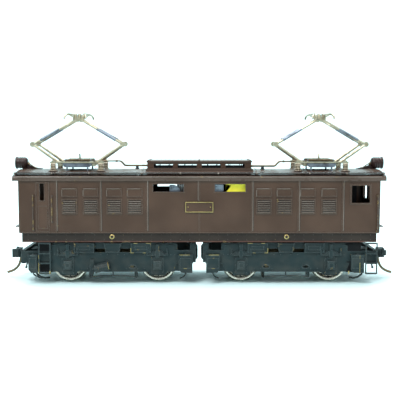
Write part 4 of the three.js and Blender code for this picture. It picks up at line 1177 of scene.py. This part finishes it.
def steps_at(mesh, x0, x1):
    """Footstep ladder: flat stringers, turned-over treads and angle stays."""
    y = FACE_Y - 1.5
    for x in (x0, x1):
        box(mesh, x - 0.22, x + 0.22, y - 0.3, y + 0.3, 4.6, 17.9)
    for z in (4.8, 9.1, 13.3, 17.6):
        box(mesh, x0 + 0.2, x1 - 0.2, y - 0.24, y + 1.2, z - 0.14, z + 0.14)
        box(mesh, x0 + 0.2, x1 - 0.2, y - 0.3, y - 0.1, z - 0.34, z + 0.2)


def sand_box(mesh, x0, x1):
    """Trim of a sand box: its lid, front bead, filler and latch."""
    y = FACE_Y - 1.7
    middle = (x0 + x1) / 2
    box(mesh, x0 - 0.12, x1 + 0.12, y - 0.12, FACE_Y, 12.1, 12.75)
    frame_ring(mesh, x0 + 0.5, x1 - 0.5, 6.9, 11.4, 0.25, y - 0.14, y + 0.05)
    rod(mesh, (middle, y + 0.7, 12.7), (middle, y + 0.7, 13.1), 0.55, 16, 0.4)
    rod(mesh, (middle - 0.9, y - 0.1, 12.4), (middle + 0.9, y - 0.1, 12.4), 0.16, 8)


def sand_pipe(mesh, x, way):
    points = [(x, -15.4, 5.4), (x, -15.1, 4.2), (x - way * 0.6, -13.6, 3.2), (x - way * 1.6, -11.4, 2.2),
              (x - way * 2.4, -9.6, 1.5)]
    swept(mesh, points, 0.32, 10)


def frame_plates(mesh):
    """Inner plates that close the frame over the axles, behind the ladder and beside the inner box."""
    y0, y1 = -14.6, -14.1
    for side in BOTH:
        outline = [(side * 16.0, 12.0), (side * 16.0, 17.5), (side * 26.6, 17.5), (side * 27.4, 16.9),
                   (side * 27.4, 12.0)]
        prism(mesh, outline, y0, y1)
        box(mesh, side * 17.2, side * 21.0, y0 - 0.4, y1, 16.6, 17.4)
    box(mesh, 24.6, 29.0, y0, y1, 5.4, 12.6)
    box(mesh, 25.0, 28.6, y0 - 0.25, y1, 8.6, 9.0)
    box(mesh, 32.8, 35.2, y0, y1, 9.2, 17.4)


def ladder_backing(mesh):
    """The unlit plates behind the footsteps."""
    box(mesh, -31.8, -25.4, -14.9, -14.5, 5.0, 17.5)
    box(mesh, -31.4, -25.8, -15.2, -14.8, 9.2, 9.6)


def rubbed_brass(mesh):
    """Slivers of brass where handling has rubbed the paint off sharp corners."""
    y = FACE_Y
    for x0, x1, z0, z1, depth in ((-31.16, -30.98, 4.7, 9.4, 1.84), (-26.6, -26.15, 4.62, 5.9, 1.84),
                                  (-31.1, -30.96, 11.0, 12.6, 1.84), (7.7, 7.9, 13.5, 15.4, 1.0),
                                  (7.7, 9.1, 13.36, 13.55, 1.0), (9.0, 10.6, 17.44, 17.64, 1.0),
                                  (14.2, 16.2, 17.44, 17.64, 1.0), (12.9, 14.1, 13.36, 13.5, 1.0),
                                  (28.3, 32.6, 12.6, 12.78, 1.88), (30.1, 31.5, 6.85, 7.0, 1.88)):
        box(mesh, x0, x1, y - depth, y - depth + 0.2, z0, z1)


def cylinder_rim(mesh):
    """The brake cylinder's rubbed end ring, a bent sliver of brass."""
    slope = Vector((5.4, 0, 1.3)).normalized()
    up = Vector((-slope.z, 0, slope.x))
    start = Vector((-7.4, FACE_Y - 0.9, 6.6)) + slope * 5.98
    points = [start + up * (2.02 * cos(a)) + Vector((0, -2.02 * sin(a), 0))
              for a in (0.5 + step * 0.16 for step in range(12))]
    swept(mesh, points, 0.16, 8)


def guard_irons(mesh):
    """Curved rail guards ahead of the outer wheels and the inner wire guards."""
    for side in BOTH:
        iron = ((-33.2, 12.8, 9.0), (-33.3, 12.8, 5.4), (-32.6, 12.6, 3.7), (-31.2, 12.2, 2.5),
                (-29.4, 11.6, 1.9), (-27.6, 10.8, 2.0))
        swept(mesh, [(x, side * y, z) for x, y, z in iron], 0.42, 10)
        swept(mesh, [(-38.3, side * 5.6, 9.4), (-38.5, side * 5.6, 7.2), (-38.9, side * 5.5, 5.6)], 0.35, 10)
        rod(mesh, (-38.9, side * 5.5, 5.8), (-39.0, side * 5.5, 5.0), 0.6, 14, 0.45)


def end_beam_trim(mesh):
    """Bolt heads and a strip on the outer end beam."""
    for y in (-12.6, -10.2, -6.6, 6.6, 10.2, 12.6):
        rod(mesh, (-38.8, y, 12.9), (-39.1, y, 12.9), 0.42, 6)
        rod(mesh, (-38.8, y, 10.1), (-39.1, y, 10.1), 0.42, 6)
    box(mesh, -39.0, -38.7, -14.6, 14.6, 13.9, 14.3)


def both_long_sides(build):
    """Repeats a near-side shape on the far side, as its mirror image."""
    def repeated(mesh):
        build(mesh)
        other = bmesh.new()
        build(other)
        bmesh.ops.scale(other, vec=(1, -1, 1), verts=other.verts)
        copy_into(mesh, other)
    return repeated


def copy_into(mesh, other):
    places = [mesh.verts.new(vert.co) for vert in other.verts]
    other.verts.index_update()
    for face in other.faces:
        mesh.faces.new([places[vert.index] for vert in face.verts])
    other.free()


def turned_other(build):
    """A shape of the far side, written as if near and given half a turn."""
    def made(mesh):
        other = bmesh.new()
        build(other)
        turn_half(other)
        copy_into(mesh, other)
    return made


def ladders(mesh):
    steps_at(mesh, -30.9, -26.2)
    turned_other(lambda far: steps_at(far, 33.6, 38.2))(mesh)


def sand_boxes(mesh):
    both_long_sides(lambda near: sand_box(near, 28.0, 33.8))(mesh)
    both_long_sides(lambda near: sand_pipe(near, 30.9, 1))(mesh)
    sand_box(mesh, -35.5, -31.7)
    sand_pipe(mesh, -33.6, -1)
    turned_other(lambda far: sand_box(far, 27.4, 32.9))(mesh)


BOGIE_PIECES = (
    ("leaf_springs", both_long_sides(leaf_springs), "black", 0.04),
    ("axle_boxes", both_long_sides(axle_boxes), "black", 0.08),
    ("box_rings", both_long_sides(box_rings), "black", 0.06),
    ("frame_bolts", both_long_sides(frame_bolts), "black", 0.0),
    ("brake_gear", both_long_sides(brake_gear), "black", 0.05),
    ("brake_cylinder", cylinder_near, "black", 0.08),
    ("ladders", ladders, "black", 0.05),
    ("sand_boxes", sand_boxes, "black", 0.08),
    ("frame_plates", both_long_sides(frame_plates), "black", 0.06),
    ("ladder_backing", both_long_sides(ladder_backing), "dark", 0.06),
    ("rubbed_corners", both_long_sides(rubbed_brass), "brass", 0.0),
    ("cylinder_rim", cylinder_rim, "brass", 0.0),
    ("guard_irons", guard_irons, "black", 0.0),
    ("end_beam_trim", end_beam_trim, "black", 0.04),
)


def make_bogies():
    rows = [(*piece[:3], "bogie", "black_paint", piece[3]) for piece in BOGIE_PIECES]
    for end, sign in ENDS:
        dress(f"bogie_frame_{end}", "black", 0.12)
        make_rows(rows, end, pivot(f"bogie_yaw_{end}").x, sign > 0)


# ---- couplers ----

COUPLER_Z = pivot("knuckle_open_left").z


def trip_pin(mesh):
    """The bent bronze wire under the coupler head, left end."""
    a, b = Vector((-42.5, 0, COUPLER_Z - 1.85)), Vector((-42.9, 0, 4.6))
    c, d = Vector((-45, 0, 3.2)), Vector((-48.6, 0, 2.3))
    points = []
    for step in range(17):
        t = step / 16
        points.append(a * (1 - t) ** 3 + b * 3 * t * (1 - t) ** 2 + c * 3 * t * t * (1 - t) + d * t ** 3)
    swept(mesh, points, 0.55, 14)


def coupler_trim(mesh):
    """Casting rib, knuckle pin and rivet of the head, left end."""
    box(mesh, -41.8, -35, -0.5, 0.5, COUPLER_Z + 0.5, COUPLER_Z + 0.9)
    ball(mesh, (-44.3, 1.9, COUPLER_Z + 1.9), 0.5, 14)
    rod(mesh, (-42.5, 0, COUPLER_Z + 1.7), (-42.5, 0, COUPLER_Z + 2.1), 0.5, 16, 0.35)


COUPLER_PIECES = (
    ("trip_wire", trip_pin, "bronze", "coupler", "bronze", 0.0, "trip_pin"),
    ("coupler_trim", coupler_trim, "black", "coupler", "black_paint", 0.05),
)


def make_couplers():
    for end, sign in ENDS:
        dress(f"coupler_{end}", "black", 0.16)
        dress(f"coupler_knuckle_{end}", "black", 0.16)
        make_rows(COUPLER_PIECES, end, pivot(f"bogie_yaw_{end}").x, sign > 0)


# ---- pantographs: about the middle of the base, x = 0, outer end towards +X ----

RAIL_Y = 8.2
INSULATOR_X = 10.2
SHEDS = 5                     # skirts on each insulator
BASE_Z = pivot("pantograph_fold_right").z
PANTOGRAPH_X = (pivot("pantograph_fold_right").x + pivot("lower_arm_inner_right_fold").x) / 2
FOOT_X = pivot("pantograph_fold_right").x - PANTOGRAPH_X
ELBOW = pivot("upper_arm_outer_right_fold") - Vector((PANTOGRAPH_X, 0, 0))
APEX = pivot("pantograph_head_right_level") - Vector((PANTOGRAPH_X, 0, 0))


def insulator(mesh, x, y):
    """One ribbed ceramic post with a glazed skirt for each shed."""
    low, high = roof_height(RAIL_Y), 51.0
    profile = [(0, low), (1.3, low)]
    pitch = (high - low) / SHEDS
    for index in range(SHEDS):
        z = low + pitch * index
        profile.append((0.95, z + 0.04))
        for radius, part in ((0.95, 0.3), (1.55, 0.38), (1.7, 0.5), (1.55, 0.66), (0.95, 0.8)):
            profile.append((radius, z + pitch * part))
    profile += [(1.0, high), (0, high)]
    turned(mesh, profile, (x, y, 0), "Z", 32)


def insulators(mesh):
    for side in BOTH:
        insulator(mesh, INSULATOR_X, side * RAIL_Y)


def insulator_shade_cores(mesh):
    """Dark cores that show between the sheds, as painted shade in the gaps."""
    x = INSULATOR_X
    for side in BOTH:
        rod(mesh, (x, side * RAIL_Y, roof_height(RAIL_Y)), (x, side * RAIL_Y, 50.9), 1.12, 20, 1.08)


def insulator_feet(mesh):
    x = INSULATOR_X
    box(mesh, x - 0.5, x + 0.5, -6.4, 6.4, 48.1, 48.4)
    for side in BOTH:
        washer = [(0, 47.6), (2.0, 47.6), (2.0, 47.85), (1.75, 48.0), (0, 48.0)]
        turned(mesh, washer, (x, side * RAIL_Y, 0), "Z", 24)
        box(mesh, x - 0.5, x + 0.5, side * 5.4, side * 7.0, 47.75, 48.3)


def base_frame(mesh):
    """Channel rails, cross channels, bolts over the insulators and bearing lugs."""
    end = 11.5
    for side in BOTH:
        y = side * RAIL_Y
        box(mesh, -end, end, y - 0.4, y + 0.4, 51.0, 51.18)
        box(mesh, -end, end, y + side * 0.22, y + side * 0.4, 51.0, 51.7)
        box(mesh, -end, end, y - 0.4, y + 0.4, 51.55, 51.7)
        for x in (-INSULATOR_X, INSULATOR_X):
            rod(mesh, (x, y, 51.65), (x, y, 52.1), 0.75, 6)
            rod(mesh, (x, y, 52.05), (x, y, 52.4), 0.35, 12)
        for x in (-FOOT_X, FOOT_X):
            rod(mesh, (x, side * 6.6, BASE_Z), (x, side * 7.9, BASE_Z), 0.95, 24)
            box(mesh, x - 0.95, x + 0.95, side * 6.6, side * 7.9, BASE_Z, 51.65)
    for x in (-5.4, 5.4):
        box(mesh, x - 0.4, x + 0.4, -8.2, 8.2, 51.1, 51.35)
        box(mesh, x - 0.4, x - 0.22, -8.2, 8.2, 51.1, 51.7)
        box(mesh, x + 0.22, x + 0.4, -8.2, 8.2, 51.1, 51.7)


def base_tray(mesh):
    """The blued tray slung below the rails, with deep lips, feet and spring anchors."""
    half, side_y = 6.1, 7.75
    box(mesh, -half, half, -side_y, side_y, 50.7, 50.95)
    for side in BOTH:
        lip = [(half, 50.95), (half, 50.1), (half - 0.5, 49.45), (half - 1.2, 49.2)]
        outline = [(-x, z) for x, z in lip] + lip[::-1]
        prism(mesh, outline, side * side_y, side * (side_y + 0.25))
        box(mesh, -half + 0.6, half - 0.6, side * side_y, side * (side_y + 0.4), 49.95, 50.2)
        box(mesh, -1.1, 1.1, side * 1.9, side * 2.9, 50.9, 52.4)
        for x in (-4.4, 4.4):
            rod(mesh, (x, side * 7.4, 49.4), (x, side * 7.4, roof_height(7.4)), 0.3, 12, 0.42)
        for x in (-5.4, 5.4):
            rod(mesh, (x, side * 5.2, 50.9), (x, side * 5.2, 52.6), 0.42, 12)


def hold_down_hook(mesh):
    swept(mesh, [(0, 0, 51.3), (0, 0, 53.6), (0, 0.1, 54.3), (0, 0.45, 54.65), (0, 0.85, 54.45)], 0.32, 12)
    swept(mesh, [(0, 0, 50.9), (0, 0, 53.2)], 0.5, 12)


def coil_spring(mesh, start, end, radius, turns, wire):
    start, end = Vector(start), Vector(end)
    steps = turns * 12
    points = []
    for step in range(steps + 1):
        angle = tau * turns * step / steps
        place = start.lerp(end, step / steps)
        points.append(place + Vector((0, radius * cos(angle), radius * sin(angle))))
    swept(mesh, points, wire, 6)


def base_springs(mesh):
    """Tension springs over the tray, each round its own pull rod."""
    for side in BOTH:
        coil_spring(mesh, (-5.3, side * 5.2, 52.1), (5.3, side * 5.2, 52.1), 0.52, 24, 0.18)
        rod(mesh, (-5.5, side * 5.2, 52.1), (5.5, side * 5.2, 52.1), 0.3, 10)


def lower_arm(mesh):
    """Outer lower arm: base shaft with collars, tapered legs, brace and elbow knuckles."""
    foot = Vector((FOOT_X, 0, BASE_Z))
    pin(mesh, foot, 8.6, 0.42, 20)
    for side in BOTH:
        y = side * 5.7
        start = foot + Vector((0, y, 0))
        end = Vector((ELBOW.x, y, ELBOW.z))
        rod(mesh, start.lerp(end, 0.02), start.lerp(end, 0.97), 0.62, 18, 0.5)
        rod(mesh, start.lerp(end, 0.0), start.lerp(end, 0.14), 0.8, 18, 0.64)
        pin(mesh, start, 0.5, 0.85, 20)
        pin(mesh, end, 0.42, 1.12, 22)
        rod(mesh, end + Vector((0, side * 0.4, 0)), end + Vector((0, side * 0.85, 0)), 0.45, 6)
    middle = (foot + ELBOW) / 2
    pin(mesh, (middle.x, 0, middle.z), 5.7, 0.2, 10)
    rod(mesh, foot, foot + Vector((-0.5, 0, 1.5)), 0.32, 12, 0.25)
    pin(mesh, foot, 0.6, 0.7, 16)
    pin(mesh, (ELBOW.x, 0, ELBOW.z), 6.5, 0.34, 16)


def upper_arm(mesh):
    """Outer upper arm: knuckles, legs, an X brace of wire and the apex bar."""
    def at(part, side):
        width = 4.6 + (3.5 - 4.6) * part
        place = ELBOW.lerp(APEX, part)
        return Vector((place.x, side * width, place.z))
    for side in BOTH:
        pin(mesh, at(0.0, side), 0.42, 1.05, 22)
        rod(mesh, at(0.02, side), at(0.99, side), 0.48, 16, 0.42)
        pin(mesh, at(1.0, side), 0.36, 0.62, 18)
    rod(mesh, at(0.12, -1), at(0.88, 1), 0.17, 8)
    rod(mesh, at(0.12, 1), at(0.88, -1), 0.17, 8)
    rod(mesh, at(0.12, -1), at(0.12, 1), 0.2, 8)
    pin(mesh, (APEX.x, 0, APEX.z), 5.4, 0.33, 14)


def upper_sleeves(mesh):
    """Blackened stiffening tubes on the upper legs, beside the knuckles."""
    for side in BOTH:
        a = Vector((ELBOW.x, side * 4.6, ELBOW.z))
        b = Vector((APEX.x, side * 3.5, APEX.z))
        rod(mesh, a.lerp(b, 0.2), a.lerp(b, 0.62), 0.58, 16, 0.52)
        rod(mesh, a.lerp(b, 0.17), a.lerp(b, 0.2), 0.46, 16, 0.66)


def collector(mesh):
    """Two contact strips on a slim cradle, their ends curling outwards and down as horns."""
    lift = 71.95
    for x in (-3.4, 3.4):
        way = 1 if x > 0 else -1
        horn = [(0, 7.6, 0), (0.1, 8.6, -0.03), (0.35, 9.6, -0.22), (0.72, 10.5, -0.62), (1.02, 11.2, -1.2),
                (1.1, 11.6, -1.95)]
        right = [(x + way * dx, y, lift + dz) for dx, y, dz in horn]
        left = [(px, -y, z) for px, y, z in reversed(right)]
        swept(mesh, left + right, 0.42, 12)
        box(mesh, x - 0.5, x + 0.5, -7.6, 7.6, lift - 0.1, lift + 0.34)
        for y in (-6.6, -2.2, 2.2, 6.6):
            box(mesh, x - 0.62, x + 0.62, y - 0.22, y + 0.22, lift - 0.5, lift + 0.2)
    for y in (-4.75, 4.75):
        saddle = ((-3.6, 0.35), (-3.0, 0.95), (-1.5, 1.5), (1.5, 1.5), (3.0, 0.95), (3.6, 0.35), (3.0, 0.45),
                  (1.3, 1.1), (-1.3, 1.1), (-3.0, 0.45))
        prism(mesh, [(x, lift - drop) for x, drop in saddle], y - 0.25, y + 0.25)
        rod(mesh, (0, y, APEX.z - 0.6), (0, y, lift - 1.1), 0.5, 14)
        rod(mesh, (0, y - 0.5, APEX.z), (0, y + 0.5, APEX.z), 0.95, 20)


def collector_springs(mesh):
    """Upright coils that carry the cradle over each bearing."""
    low, high = APEX.z + 0.3, 72.0
    for y in (-4.75, 4.75):
        for x in (-0.9, 0.9):
            steps = 60
            points = [(x + 0.62 * cos(step * 0.7), y + 0.62 * sin(step * 0.7),
                       low + (high - low) * step / steps) for step in range(steps + 1)]
            swept(mesh, points, 0.16, 6)


FRAME_PIECES = (
    ("insulator_posts", insulators, "ceramic", "carbody", "ceramic", 0.0, "insulators"),
    ("insulator_shade_cores", insulator_shade_cores, "bronze", "carbody", "ceramic", 0.0),
    ("insulator_feet", insulator_feet, "roof", "carbody", "roof_paint", 0.06),
    ("lower_frame", lower_arm, "nickel", "lower_arm", "nickel", 0.0, "lower_arm"),
    ("upper_frame", upper_arm, "nickel", "upper_arm", "nickel", 0.0, "upper_arm"),
    ("upper_sleeves", upper_sleeves, "gunmetal", "upper_arm", "steel", 0.0),
)
BASE_PIECES = (
    ("base_frame", base_frame, "nickel", "carbody", "brass", 0.05, "pantograph_base"),
    ("base_tray", base_tray, "gunmetal", "carbody", "steel", 0.06),
    ("base_hook", hold_down_hook, "nickel", "carbody", "nickel", 0.0),
    ("base_springs", base_springs, "bronze", "carbody", "nickel", 0.0),
    ("collector_head", collector, "nickel", "pantograph_head", "nickel", 0.05, "pantograph_head"),
    ("collector_springs", collector_springs, "nickel", "pantograph_head", "steel", 0.0),
)


def make_pantographs():
    for end, sign in ENDS:
        x = sign * PANTOGRAPH_X
        for place in PLACES:
            make_rows(FRAME_PIECES, f"{place}_{end}", x, (place == "inner") != (sign < 0))
        make_rows(BASE_PIECES, end, x, sign < 0)


# ---- camera, floor and light ----

CAMERA = (0.0003, -0.327, 0.06347)
CAMERA_TILT = 5.07            # degrees down
LENS = 66.96                  # focal length in millimetres, for the width below
SENSOR = 36
LIGHTS = (                    # name, place, target, size, watts
    ("key", (-0.2, -0.4, 0.5), (0, 0, 0.02), (0.3, 0.2), 3.5),
    ("fill", (0.45, -0.45, 0.35), (0, 0, 0.02), (0.4, 0.3), 1.5),
    ("top", (0, 0.1, 0.7), (0, 0, 0.04), (0.7, 0.4), 6.6),
    ("backdrop", (0, 0.4, 0.9), (0, 1.3, 0.3), (1.2, 0.4), 16.0),
)
SKY = (0.95, 0.99, 1.0, 1)
SKY_STRENGTH = 0.56


def make_camera():
    data = bpy.data.cameras.new("camera")
    data.lens = LENS
    data.sensor_width = SENSOR
    data.clip_start = 0.01
    camera = add_object("camera", data)
    camera.location = CAMERA
    camera.rotation_euler = (radians(90 - CAMERA_TILT), 0, 0)
    bpy.context.scene.camera = camera


def make_floor():
    """A pale table with a wide, soft cove behind it."""
    mesh = bmesh.new()
    depth, rise, radius = 0.9, 1.6, 0.5
    outline = [(-1.6, 0.0), (depth, 0.0)]
    for angle in angles(12, first=1):
        outline.append((depth + radius * sin(angle), radius * (1 - cos(angle))))
    outline.append((depth + radius, rise))
    rows = [[mesh.verts.new((x, y, z)) for x in (-2.4, 2.4)] for y, z in outline]
    for low, high in zip(rows, rows[1:]):
        mesh.faces.new((low[0], low[1], high[1], high[0]))
    data = bpy.data.meshes.new("floor")
    mesh.to_mesh(data)
    mesh.free()
    floor = add_object("floor", data)
    paint = Paint("floor_card")
    grain = paint.noise(60, 4)
    tone = paint.mix(paint.ramp(grain, 0.3, 0.7), (0.68, 0.885, 0.905), (0.65, 0.86, 0.88))
    data.materials.append(paint.finish(tone, paint.spread(grain, 0.5, 0.62)))
    smooth_by_angle(floor)


def area_light(name, place, target, size, power):
    data = bpy.data.lights.new(name, "AREA")
    data.shape = "RECTANGLE"
    data.size, data.size_y = size
    data.energy = power
    light = add_object(name, data)
    light.location = place
    light.rotation_euler = (Vector(target) - Vector(place)).to_track_quat("-Z", "Y").to_euler()


def make_lights():
    world = bpy.data.worlds.new("studio")
    world.use_nodes = True
    background = world.node_tree.nodes["Background"]
    background.inputs["Color"].default_value = SKY
    background.inputs["Strength"].default_value = SKY_STRENGTH
    bpy.context.scene.world = world
    for row in LIGHTS:
        area_light(*row)
    bpy.context.scene.view_settings.view_transform = "Standard"


make_camera()
make_body()
make_roof()
make_underframe()
make_headlights()
make_drive()
make_wheels()
make_bogies()
make_couplers()
make_pantographs()
make_floor()
make_lights()
